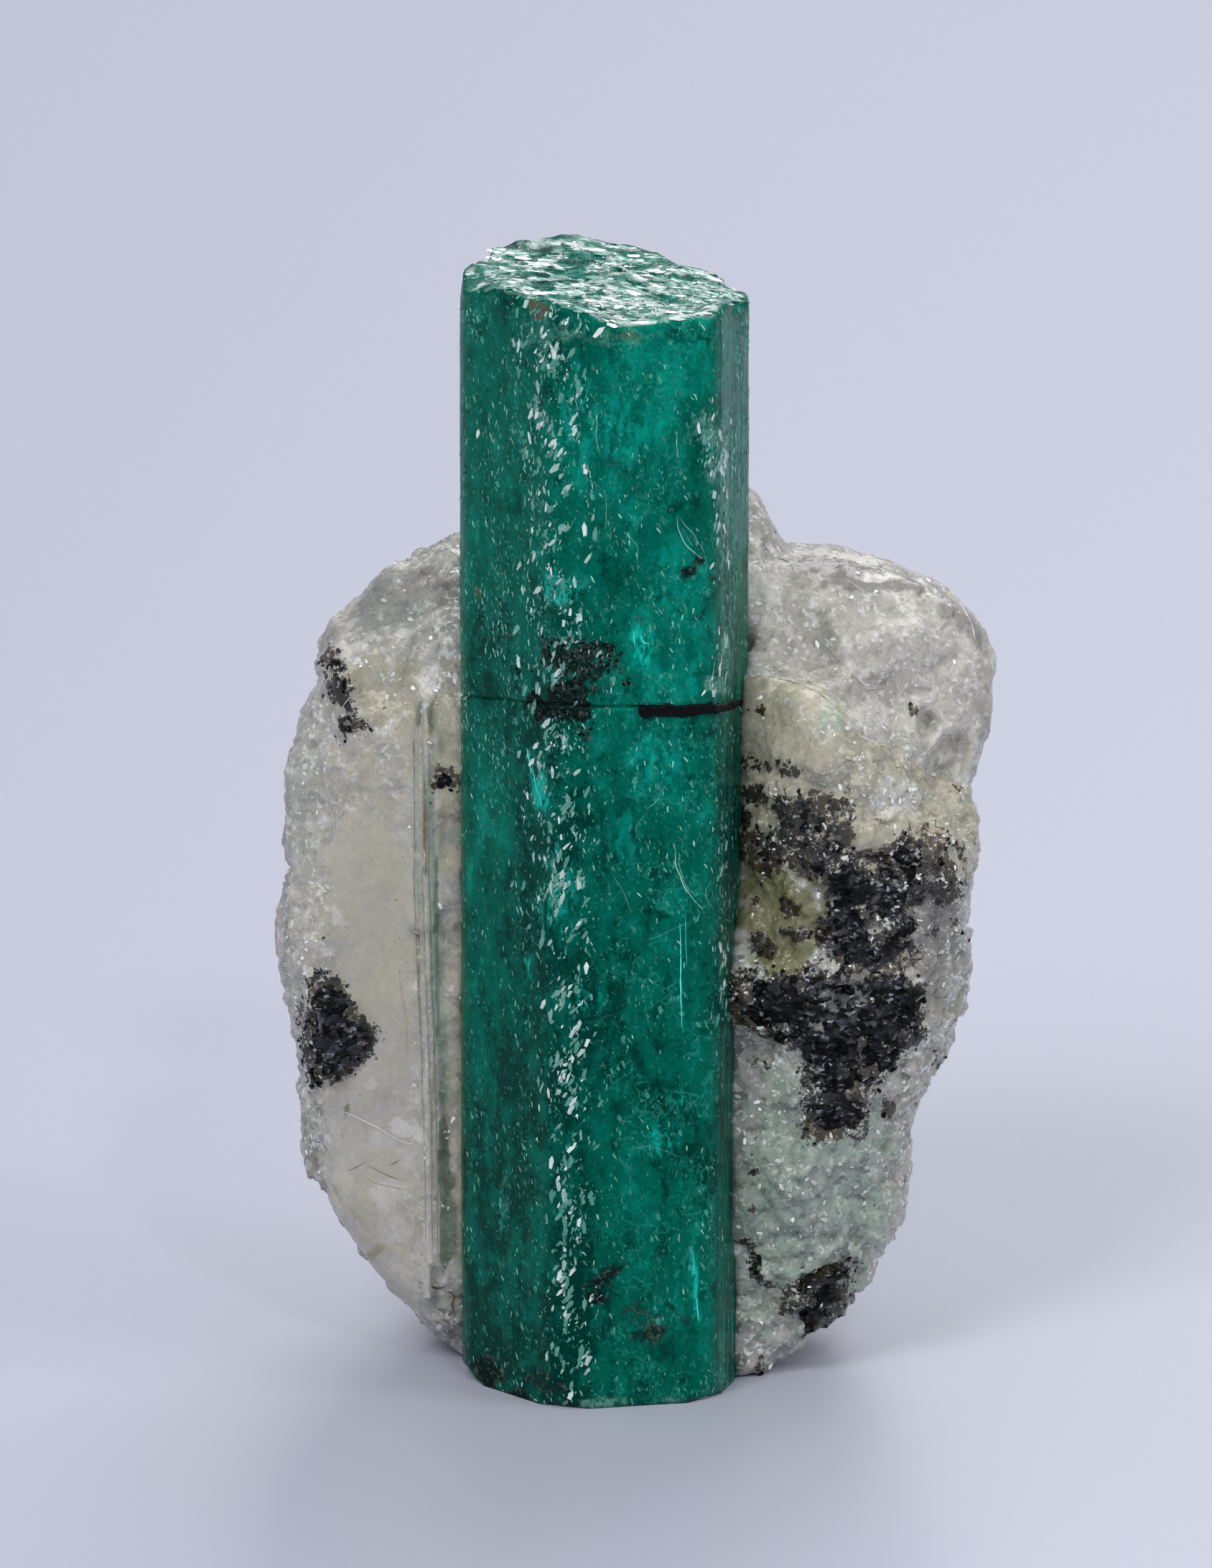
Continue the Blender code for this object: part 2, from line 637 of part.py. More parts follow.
def main():
    """Build the specimen."""
    clear_scene()
    specimen = new_collection("emerald_in_matrix")
    cutters = new_collection("cutters")
    emerald = finish("emerald", EMERALD_GREEN, 0.22, transmission=0.6, ior=1.58)
    quartz = finish("milky_quartz", QUARTZ_MILK, 0.38)
    biotite = finish("biotite", BIOTITE_BLACK, 0.30)
    crystal = build_crystal(specimen, cutters, emerald)
    matrix, shell = build_matrix(specimen, quartz)
    for index, ridge in enumerate(PLATE_RIDGES, 1):
        combine(matrix, build_ridge(index, ridge, cutters), "UNION")
    socket_top = CRYSTAL_STOCK_HEIGHT + CUTTER_CLEARANCE
    socket = new_cutter("crystal_socket", prism(GAP, -CUTTER_CLEARANCE, socket_top), cutters)
    combine(matrix, socket, "DIFFERENCE")
    makings = (specimen, cutters, biotite)
    on_matrix = (surface_of(shell), MICA_PROUD, MICA_BURIED, MICA_RELIEF)
    on_crystal = (crystal_surface, CLOT_PROUD, CLOT_BURIED, CLOT_RELIEF)
    for name, outline in MASSES_ON_MATRIX.items():
        sheet, pocket = mica_sheet(outline, on_matrix), mica_sheet(outline, on_matrix, GAP)
        combine(build_mica(name, sheet, pocket, matrix, makings), socket, "DIFFERENCE")
    clot, pocket = mica_sheet(CRYSTAL_CLOT, on_crystal), mica_sheet(CRYSTAL_CLOT, on_crystal, GAP)
    build_mica("biotite_crystal_clot", clot, pocket, crystal, makings)
    build_mica("biotite_crack_seam", seam_bar(), seam_bar(GAP), crystal, makings)


if __name__ == "__main__":
    main()
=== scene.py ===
"""Looks of an emerald crystal in its quartz matrix: fine surfaces, flakes, finishes and light.

The crystal stands on the origin, +Z up, with its front towards -Y.  Shapes are worked out in
millimetres and become metres where a mesh is made.
"""

import logging
import math
from dataclasses import dataclass
from enum import Enum

import bmesh
import bpy
import numpy as np
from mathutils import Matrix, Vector, noise
from mathutils.bvhtree import BVHTree

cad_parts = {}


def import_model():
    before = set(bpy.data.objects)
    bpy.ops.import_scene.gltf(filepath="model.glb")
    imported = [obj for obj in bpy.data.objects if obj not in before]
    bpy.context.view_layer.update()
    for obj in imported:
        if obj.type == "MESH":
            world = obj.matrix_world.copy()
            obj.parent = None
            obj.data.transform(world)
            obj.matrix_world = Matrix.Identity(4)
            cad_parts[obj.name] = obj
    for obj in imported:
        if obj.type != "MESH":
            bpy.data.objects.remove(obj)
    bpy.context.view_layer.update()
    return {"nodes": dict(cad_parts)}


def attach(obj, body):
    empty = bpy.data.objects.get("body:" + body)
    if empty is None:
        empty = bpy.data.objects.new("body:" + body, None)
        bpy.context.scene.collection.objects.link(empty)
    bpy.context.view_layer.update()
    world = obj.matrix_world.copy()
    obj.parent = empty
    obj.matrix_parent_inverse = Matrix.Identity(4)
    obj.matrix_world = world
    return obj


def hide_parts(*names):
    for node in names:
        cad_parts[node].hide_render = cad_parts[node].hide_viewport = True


LOG = logging.getLogger("emerald_in_matrix")

MM = 0.001
BODY = "root"

# The line of sight on the specimen's front falls by this much.
SIGHT_FALL = math.radians(16.0)
SIGHT_START = 60.0

Array = np.ndarray
Colour = tuple[float, float, float]
Span = tuple[float, float]
Line = tuple[Span, ...]
Node = bpy.types.Node
Object = bpy.types.Object
Material = bpy.types.Material


# ---- Numbers and fields ----


def ease(low: float, high: float, values: Array) -> Array:
    """Rise smoothly from 0 at low to 1 at high."""
    share = np.clip((values - low) / (high - low), 0.0, 1.0)
    return share * share * (3.0 - 2.0 * share)


def seen_level(points: Array) -> Array:
    """Height at which points are seen by the falling line of sight."""
    return points[:, 2] * math.cos(SIGHT_FALL) + points[:, 1] * math.sin(SIGHT_FALL)


def ripple(points: Array, size: float, shift: float = 0.0) -> Array:
    """Smooth noise over points."""
    moved = points / size + shift
    return np.array([noise.noise(Vector(place)) for place in moved])


def cell_centres(points: Array, size: float) -> Array:
    """Centres of the random cells that points fall in."""
    moved = points / size
    return np.array([noise.voronoi(Vector(place))[1][0] for place in moved]) * size


def scramble(places: Array, salt: float) -> Array:
    """A random number for each place, the same wherever the place is the same."""
    mixed = np.sin(places @ np.array([12.9898, 78.233, 37.719]) + salt * 4.171) * 43758.5453
    return 2.0 * (mixed - np.floor(mixed)) - 1.0


def facets(points: Array, size: float) -> Array:
    """Relief of flat facets, each with its own level and lean.

    Args:
        points: Places in millimetres, one row each.
        size: Width of a facet in millimetres.

    Returns:
        One height of about -1 to 1 for each point.
    """
    centres = cell_centres(points, size)
    away = (points - centres) / size
    lean = np.stack([scramble(centres, salt) for salt in (1.0, 2.0, 3.0)], axis=1)
    return (away * lean).sum(axis=1) + 0.5 * scramble(centres, 4.0)


@dataclass(frozen=True)
class Spot:
    """A soft-edged place on the specimen's front.

    Attributes:
        x: Middle, in millimetres to the right of the crystal's axis.
        level: Middle, as a seen level in millimetres.
        half_width: Half the width in millimetres.
        half_height: Half the height in millimetres.
        strength: Value at the middle.
        lean: Turn to the right of upright, in degrees.
    """

    x: float
    level: float
    half_width: float
    half_height: float
    strength: float = 1.0
    lean: float = 0.0


Spots = tuple[Spot, ...]


def spots(*rows: tuple[float, ...]) -> Spots:
    """Spots from rows that give a spot's values in their order."""
    return tuple(Spot(*row) for row in rows)


def spot_values(points: Array, places: Spots, ragged: Array) -> Array:
    """How strongly spots cover points.

    Args:
        points: Places in millimetres, one row each.
        places: The spots.
        ragged: For each point, how far its spot's edge is pushed in or out.

    Returns:
        One number from 0 to the strongest spot's strength for each point.
    """
    x, level = points[:, 0], seen_level(points)
    total = np.zeros(len(points))
    for spot in places:
        turn = math.radians(spot.lean)
        off_x, off_level = x - spot.x, level - spot.level
        across = off_x * math.cos(turn) - off_level * math.sin(turn)
        along = off_x * math.sin(turn) + off_level * math.cos(turn)
        reach = np.hypot(across / spot.half_width, along / spot.half_height) + ragged
        total = np.maximum(total, spot.strength * (1.0 - ease(0.5, 1.2, reach)))
    return total


# ---- Meshes ----


def new_object(name: str, mesh: bpy.types.Mesh) -> Object:
    """Put a mesh in the scene as an object.

    Args:
        name: Name for the object and its mesh.
        mesh: The mesh, in metres.

    Returns:
        The new object.
    """
    mesh.name = name
    made = bpy.data.objects.new(name, mesh)
    bpy.context.scene.collection.objects.link(made)
    return made


def mesh_object(name: str, points: Array, faces: list[tuple[int, ...]]) -> Object:
    """Make an object from points and faces.

    Args:
        name: Name for the object.
        points: Corners in millimetres, one row each.
        faces: Corner numbers of each face, counter-clockwise seen from outside.

    Returns:
        The new object, smooth shaded.
    """
    mesh = bpy.data.meshes.new(name)
    mesh.from_pydata((points * MM).tolist(), [], faces)
    mesh.shade_smooth()
    return new_object(name, mesh)


def read_points(thing: Object) -> Array:
    """Read an object's corners in millimetres.

    Args:
        thing: A mesh object at the origin.

    Returns:
        One row for each corner.
    """
    flat = np.empty(len(thing.data.vertices) * 3, np.float32)
    thing.data.vertices.foreach_get("co", flat)
    return flat.reshape(-1, 3).astype(float) / MM


def write_points(thing: Object, points: Array) -> None:
    """Move an object's corners."""
    thing.data.vertices.foreach_set("co", (points * MM).astype(np.float32).ravel())
    thing.data.update()


def read_normals(thing: Object) -> Array:
    """Read an object's corner normals, one row for each corner.

    Args:
        thing: A mesh object at the origin.

    Returns:
        One row for each corner.
    """
    flat = np.empty(len(thing.data.vertices) * 3, np.float32)
    thing.data.vertex_normals.foreach_get("vector", flat)
    return flat.reshape(-1, 3).astype(float)


def paint(thing: Object, name: str, values: Array) -> None:
    """Store one number for each corner of an object."""
    attribute = thing.data.attributes.new(name, "FLOAT", "POINT")
    attribute.data.foreach_set("value", values.astype(np.float32))


def evaluated_copy(name: str, thing: Object) -> Object:
    """Turn an object and its modifiers into a new plain mesh object, and remove the object.

    Args:
        name: Name for the new object.
        thing: Object whose modifiers are wanted.

    Returns:
        The new object.
    """
    depsgraph = bpy.context.evaluated_depsgraph_get()
    mesh = bpy.data.meshes.new_from_object(thing.evaluated_get(depsgraph))
    bpy.data.objects.remove(thing, do_unlink=True)
    return new_object(name, mesh)


def merged_form(node: Object) -> bmesh.types.BMesh:
    """Copy a solid's mesh with its loose triangles joined up.

    Args:
        node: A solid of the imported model.

    Returns:
        The joined copy, to be freed by the caller.
    """
    form = bmesh.new()
    form.from_mesh(node.data)
    bmesh.ops.remove_doubles(form, verts=form.verts, dist=0.0005 * MM)
    form.normal_update()
    return form


def shell_from(form: bmesh.types.BMesh) -> BVHTree:
    """Make a form's surface ready for finding the nearest place or a hit.

    Args:
        form: The form in metres, freed here.

    Returns:
        The surface.
    """
    shell = BVHTree.FromBMesh(form)
    form.free()
    return shell


def sighted(shell: BVHTree, x: float, level: float) -> tuple[Vector, Vector] | None:
    """Find what the line of sight meets first.

    Args:
        shell: Surface that is looked at.
        x: Millimetres to the right of the crystal's axis.
        level: Seen level in millimetres.

    Returns:
        Place and normal in millimetres, or nothing where the line misses.
    """
    rise, fall = math.cos(SIGHT_FALL), math.sin(SIGHT_FALL)
    sight = Vector((0.0, rise, -fall))
    start = Vector((x, level * fall, level * rise)) - SIGHT_START * sight
    place, normal = shell.ray_cast(start * MM, sight)[:2]
    return (place / MM, normal) if place else None


def remeshed(name: str, form: bmesh.types.BMesh, voxel: float, smoothing: int) -> Object:
    """Give a closed form an even fine mesh.

    Args:
        name: Name for the object.
        form: Closed form in metres, freed here.
        voxel: Size of the new faces in millimetres.
        smoothing: How many times the new mesh is smoothed.

    Returns:
        The new object.
    """
    mesh = bpy.data.meshes.new(name)
    form.to_mesh(mesh)
    form.free()
    rough = new_object(f"{name}_rough", mesh)
    remesh = rough.modifiers.new("even faces", "REMESH")
    remesh.mode = "VOXEL"
    remesh.voxel_size = voxel * MM
    remesh.use_smooth_shade = True
    if smoothing:
        smooth = rough.modifiers.new("smooth", "SMOOTH")
        smooth.iterations = smoothing
    return evaluated_copy(name, rough)


def dress(piece: Object, material: Material) -> None:
    """Give a piece its only material."""
    piece.data.materials.clear()
    piece.data.materials.append(material)


def keep(piece: Object, slot: str, *nodes: str) -> None:
    """Fix a finished piece to the specimen and report it.

    Args:
        piece: The piece, in place.
        slot: Not used.
        nodes: Solids that it stands for.
    """
    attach(piece, BODY)
    if nodes:
        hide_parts(*nodes)
    LOG.info("%s: %d faces", piece.name, len(piece.data.polygons))


# ---- Node trees ----


class Wire:
    """A value on its way between nodes, written as plain arithmetic."""

    def __init__(self, graph: "Graph", socket: bpy.types.NodeSocket) -> None:
        """Hold an output socket of a node in a graph."""
        self.graph = graph
        self.socket = socket

    def _maths(self, operation: str, *values: "Wire | float") -> "Wire":
        """Add a Math node on the values."""
        return self.graph.wire("ShaderNodeMath", {"operation": operation}, dict(enumerate(values)))

    def __add__(self, other: "Wire | float") -> "Wire":
        """Sum."""
        return self._maths("ADD", self, other)

    def __radd__(self, other: float) -> "Wire":
        """Sum with a number on the left."""
        return self._maths("ADD", other, self)

    def __sub__(self, other: "Wire | float") -> "Wire":
        """Difference."""
        return self._maths("SUBTRACT", self, other)

    def __rsub__(self, other: float) -> "Wire":
        """Difference from a number on the left."""
        return self._maths("SUBTRACT", other, self)

    def __mul__(self, other: "Wire | float") -> "Wire":
        """Product."""
        return self._maths("MULTIPLY", self, other)

    def __rmul__(self, other: float) -> "Wire":
        """Product with a number on the left."""
        return self._maths("MULTIPLY", other, self)

    def __abs__(self) -> "Wire":
        """Size without sign."""
        return self._maths("ABSOLUTE", self)

    def most(self, other: "Wire | float") -> "Wire":
        """The larger of two values."""
        return self._maths("MAXIMUM", self, other)

    def eased(self, low: float, high: float) -> "Wire":
        """Rise smoothly from 0 at low to 1 at high."""
        settings = {"interpolation_type": "SMOOTHSTEP"}
        return self.graph.wire("ShaderNodeMapRange", settings, {0: self, 1: low, 2: high})


Value = Wire | float | int | str | bool | tuple[float, ...] | Material


class Graph:
    """A node tree that nodes are added to."""

    def __init__(self, tree: bpy.types.NodeTree) -> None:
        """Hold the tree."""
        self.tree = tree

    def node(
        self,
        kind: str,
        settings: dict[str, object] | None = None,
        sockets: dict[int | str, Value] | None = None,
    ) -> Node:
        """Add a node.

        Args:
            kind: Type of the node.
            settings: Its properties, set before its sockets.
            sockets: Values or wires for its inputs, by number or name.

        Returns:
            The new node.
        """
        made = self.tree.nodes.new(kind)
        for name, setting in (settings or {}).items():
            setattr(made, name, setting)
        for key, value in (sockets or {}).items():
            if isinstance(value, Wire):
                self.tree.links.new(value.socket, made.inputs[key])
            else:
                made.inputs[key].default_value = value
        return made

    def wire(
        self,
        kind: str,
        settings: dict[str, object] | None = None,
        sockets: dict[int | str, Value] | None = None,
        output: int | str = 0,
    ) -> Wire:
        """Add a node and take one of its outputs."""
        return Wire(self, self.node(kind, settings, sockets).outputs[output])

    def vector(self, operation: str, first: Wire, second: Wire | Colour | float) -> Wire:
        """Work on a vector or colour with a Vector Math node."""
        key = "Scale" if operation == "SCALE" else 1
        return self.wire("ShaderNodeVectorMath", {"operation": operation}, {0: first, key: second})

    def centred(self, colour: Wire, amount: Wire | float) -> Wire:
        """Turn a random colour into a push to any side."""
        return self.vector("SCALE", self.vector("SUBTRACT", colour, (0.5, 0.5, 0.5)), amount)


class ShaderGraph(Graph):
    """A material's node tree, with patterns laid out in millimetres."""

    def __init__(self, name: str) -> None:
        """Start a material with an empty tree.

        Args:
            name: The material's name.
        """
        self.material = bpy.data.materials.new(name)
        self.material.use_nodes = True
        super().__init__(self.material.node_tree)
        self.tree.nodes.clear()

    def place(self) -> Wire:
        """Object coordinates in millimetres."""
        return self.vector("SCALE", self.wire("ShaderNodeTexCoord", output="Object"), 1.0 / MM)

    def stretched(self, place: Wire, factors: Colour) -> Wire:
        """Multiply a place by one factor for each axis."""
        return self.vector("MULTIPLY", place, factors)

    def leaned(self, place: Wire, degrees: float) -> Wire:
        """Turn a place about the Y axis."""
        sockets = {"Vector": place, "Rotation": (0.0, math.radians(degrees), 0.0)}
        return self.wire("ShaderNodeMapping", sockets=sockets)

    def stirred(self, place: Wire, scale: float, push: float) -> Wire:
        """Push a place about with noise.

        Args:
            place: The place, in millimetres.
            scale: Clouds in a millimetre.
            push: How far places move, in millimetres.

        Returns:
            The moved place.
        """
        sockets = {"Vector": place, "Scale": scale, "Detail": 2.0}
        cloud = self.wire("ShaderNodeTexNoise", sockets=sockets, output="Color")
        return self.vector("ADD", place, self.centred(cloud, 2.0 * push))

    def along(self, place: Wire, axis: str) -> Wire:
        """One coordinate of a place."""
        return self.wire("ShaderNodeSeparateXYZ", sockets={0: place}, output=axis)

    def painted(self, name: str) -> Wire:
        """A painted value of the piece."""
        return self.wire("ShaderNodeAttribute", {"attribute_name": name}, output="Fac")

    def worn(self, name: str, grain: Wire, amount: float, low: float, high: float) -> Wire:
        """Ease a painted value whose edge is broken up by noise."""
        return (self.painted(name) + amount * (grain - 0.5)).eased(low, high)

    def noise(self, place: Wire, scale: float, detail: float = 3.0, rough: float = 0.5) -> Wire:
        """Cloudy noise from 0 to 1."""
        sockets = {"Vector": place, "Scale": scale, "Detail": detail, "Roughness": rough}
        return self.wire("ShaderNodeTexNoise", sockets=sockets)

    def cells(self, place: Wire, scale: float, feature: str = "F1") -> Node:
        """Random cells."""
        sockets = {"Vector": place, "Scale": scale}
        return self.node("ShaderNodeTexVoronoi", {"feature": feature}, sockets)

    def blend(self, factor: Wire | float, first: Wire | Colour, second: Wire | Colour) -> Wire:
        """Go from the first colour to the second.

        Args:
            factor: Share of the second.
            first: A colour or a wire with one.
            second: A colour or a wire with one.

        Returns:
            The blend.
        """
        first, second = (
            colour if isinstance(colour, Wire) else (*colour, 1.0) for colour in (first, second)
        )
        return self.wire(
            "ShaderNodeMix", {"data_type": "RGBA"}, {0: factor, 6: first, 7: second}, output=2
        )

    def shaded(self, colour: Wire, amount: Wire) -> Wire:
        """Multiply a colour by one number."""
        return self.vector("SCALE", colour, amount)

    def threads(self, place: Wire, scale: float, width: float) -> Wire:
        """Fine curling lines."""
        return 1.0 - abs(self.noise(place, scale, detail=2.0) - 0.5).eased(0.0, width)

    def flecks(self, place: Wire, size: Colour, share: float, reach: float = 0.36) -> Wire:
        """Separate specks of mixed sizes.

        Args:
            place: Where they are read, in millimetres.
            size: Width, depth and height of the cell that a speck lies in.
            share: Share of the cells that have a speck.
            reach: Half the largest speck's length, as a part of its cell.

        Returns:
            1 on a speck, 0 away from it.
        """
        cells = self.cells(self.stretched(place, tuple(1.0 / side for side in size)), 1.0)
        lot = Wire(self, cells.outputs["Color"])
        radius = reach * (0.35 + 0.65 * self.along(lot, "Y"))
        inside = (radius - Wire(self, cells.outputs["Distance"])).eased(0.0, 0.07)
        return inside * self.along(lot, "X").eased(0.97 - share, 1.0 - share)

    def tilted(self, cells: Node, amount: Wire | float) -> Wire:
        """Surface normal that each cell tilts its own way.

        Args:
            cells: A Voronoi node.
            amount: How far the normals tilt.

        Returns:
            The normal.
        """
        push = self.centred(Wire(self, cells.outputs["Color"]), amount)
        leaned = self.vector("ADD", self.wire("ShaderNodeNewGeometry", output="Normal"), push)
        return self.wire("ShaderNodeVectorMath", {"operation": "NORMALIZE"}, {0: leaned})

    def bumped(self, height: Wire, depth: float, normal: Wire) -> Wire:
        """Raise a normal by a height pattern."""
        sockets = {"Height": height, "Distance": depth * MM, "Strength": 1.0, "Normal": normal}
        return self.wire("ShaderNodeBump", sockets=sockets)

    def finished(
        self, shader: dict[str, Value], absorption: tuple[Colour, float] | None = None
    ) -> Material:
        """Close the tree with a Principled shader.

        Args:
            shader: Values and wires for the shader's sockets.
            absorption: Colour and density per millimetre of the inside, if light is lost there.

        Returns:
            The material.
        """
        principled = self.node("ShaderNodeBsdfPrincipled", sockets=shader)
        output = self.node("ShaderNodeOutputMaterial")
        self.tree.links.new(principled.outputs[0], output.inputs["Surface"])
        if absorption:
            colour, density = absorption
            sockets = {"Color": (*colour, 1.0), "Density": density / MM}
            inside = self.node("ShaderNodeVolumeAbsorption", sockets=sockets)
            self.tree.links.new(inside.outputs[0], output.inputs["Volume"])
        return self.material


# ---- Finishes ----


@dataclass(frozen=True)
class EmeraldFinish:
    """Clouded green crystal: deep and bright zones, veils, flecks, frosted skin and soot, with
    painted flashes of inner light and a painted silvery sheen on the broken top.
    """

    deep: Colour = (0.001, 0.048, 0.032)
    body: Colour = (0.001, 0.15, 0.098)
    bright: Colour = (0.002, 0.33, 0.225)
    # Painted light: bright green flashes of light inside the crystal, painted into its colour.
    painted_flash: Colour = (0.01, 0.78, 0.6)
    veil: Colour = (0.04, 0.46, 0.34)
    # Flecks are real flakes; their paler colour is partly painted glint.
    fleck_and_glint: Colour = (0.13, 0.52, 0.39)
    # Painted reflection: the silvery sheen on the broken top's scales.
    scale: Colour = (0.78, 0.86, 0.83)
    frost: Colour = (0.16, 0.4, 0.32)
    soot: Colour = (0.004, 0.006, 0.005)
    ash: Colour = (0.1, 0.135, 0.12)
    rust: Colour = (0.18, 0.11, 0.05)
    transmission: float = 0.3
    roughness: float = 0.2
    gloss: float = 0.04
    sheen: Colour = (0.02, 0.8, 0.66)
    ior: float = 1.58
    inside: tuple[Colour, float] = ((0.02, 0.8, 0.62), 0.3)

    def _clouds(self, graph: ShaderGraph, loose: Wire, patchy: Wire, milky: Wire) -> Wire:
        """Green body with dark blotches and bright clouds.

        Args:
            graph: The material's tree.
            loose: Places, pushed about.
            patchy: Fine noise.
            milky: Share of the cloudier face.

        Returns:
            The colour.
        """
        cloud = graph.noise(graph.stretched(loose, (1.0, 1.0, 0.5)), 0.27, detail=5.0, rough=0.6)
        low = graph.along(loose, "Z").eased(45.0, 5.0)
        tone = 0.5 * cloud + 0.5 * patchy + 0.04 * milky - 0.05 * low
        colour = graph.blend(tone.eased(0.4, 0.51), self.deep, self.body)
        colour = graph.blend(tone.eased(0.51, 0.66), colour, self.bright)
        blotch = graph.noise(loose, 0.75, detail=5.0, rough=0.65).eased(0.58, 0.68)
        return graph.blend(0.8 * blotch, colour, self.deep)

    def _threads(self, graph: ShaderGraph, loose: Wire, milky: Wire, colour: Wire) -> Wire:
        """Add veils and fine flecks to the colour.

        Args:
            graph: The material's tree.
            loose: Places, pushed about.
            milky: Share of the cloudier face.
            colour: The colour so far.

        Returns:
            The new colour.
        """
        where = graph.noise(loose, 0.45, detail=2.0).eased(0.42, 0.58)
        fine = graph.threads(graph.stretched(loose, (1.0, 1.0, 0.6)), 1.8, 0.03) * 0.35
        veils = (graph.threads(loose, 0.6, 0.02) * 0.42).most(fine)
        colour = graph.blend(veils * where * (0.35 + 0.65 * milky), colour, self.veil)
        clear = 1.0 - 0.1 * milky
        steep = graph.leaned(loose, 17.0)
        # Flecks: real flakes in lighter green, partly painted glint off them.
        large = graph.flecks(steep, (0.3, 0.3, 0.7), 0.3) * 0.75
        small = graph.flecks(steep, (0.15, 0.15, 0.32), 0.35) * 0.75
        return graph.blend(large.most(small) * clear * (0.35 + 0.65 * where), colour, self.fleck_and_glint)

    def material(self) -> Material:
        """Build the material.

        Returns:
            The material.
        """
        graph = ShaderGraph("emerald_clouded")
        place = graph.place()
        milky, broken = graph.painted("milky"), graph.painted("broken")
        loose = graph.stirred(place, 2.2, 0.22)
        patchy = graph.noise(graph.stretched(loose, (1.0, 1.0, 0.6)), 1.15, detail=6.0, rough=0.72)
        grain = graph.noise(place, 3.4, detail=4.0, rough=0.75)
        streaks = graph.noise(graph.stretched(place, (1.0, 1.0, 0.05)), 3.2, detail=4.0, rough=0.7)
        colour = self._clouds(graph, loose, patchy, milky)
        colour = graph.shaded(self._threads(graph, loose, milky, colour), 0.5 + 1.0 * grain)
        strip = graph.painted("strip")
        colour = graph.blend(strip * streaks.eased(0.52, 0.7) * 0.2, colour, self.frost)
        colour = graph.blend(strip * streaks.eased(0.54, 0.4) * 0.75, colour, self.deep)
        # Painted glow: flashes of light inside the crystal are painted in bright green here.
        painted_flash = graph.painted("painted_flash") * graph.noise(
            graph.stretched(loose, (1.6, 1.6, 0.5)), 1.6, detail=4.0, rough=0.7
        ).eased(0.44, 0.6)
        colour = graph.blend(painted_flash, colour, self.painted_flash)
        frost = graph.worn("frost", patchy, 1.6, 0.2, 0.9)
        frost = frost * (0.1 + 0.9 * (0.8 * grain + 0.2 * streaks).eased(0.44, 0.54))
        frost = frost.most(broken * 0.3 * patchy.eased(0.5, 0.62))
        colour = graph.blend(frost, colour, self.frost)
        # Painted reflection: silvery sheen painted over the scales of the broken top.
        sheets = graph.noise(graph.stretched(place, (0.55, 1.7, 1.0)), 1.5, detail=5.0, rough=0.72)
        colour = graph.blend(
            graph.painted("scales") * (sheets + 0.02).eased(0.485, 0.525), colour, self.scale
        )
        colour = graph.blend(graph.worn("rust", grain, 1.5, 0.3, 0.85) * 0.75, colour, self.rust)
        ashy = grain.eased(0.5, 0.66) * (1.0 - 0.9 * graph.painted("dirt").eased(0.9, 1.5))
        soot = graph.blend(ashy, self.soot, self.ash)
        dirt = graph.worn("dirt", grain, 1.4, 0.36, 0.76)
        colour = graph.blend(0.97 * dirt, colour, soot)
        etched = graph.cells(graph.stretched(place, (3.4, 3.4, 1.5)), 1.0)
        normal = graph.tilted(etched, 0.12 + 0.6 * broken)
        normal = graph.bumped(streaks, 0.05, normal)
        normal = graph.bumped(grain, 0.03, normal)
        shader = {
            "Base Color": colour,
            "Roughness": self.roughness + 0.2 * frost + 0.25 * dirt,
            "Normal": normal,
            "IOR": self.ior,
            "Specular IOR Level": self.gloss,
            "Specular Tint": (*self.sheen, 1.0),
            "Transmission Weight": self.transmission,
        }
        return graph.finished(shader, self.inside)


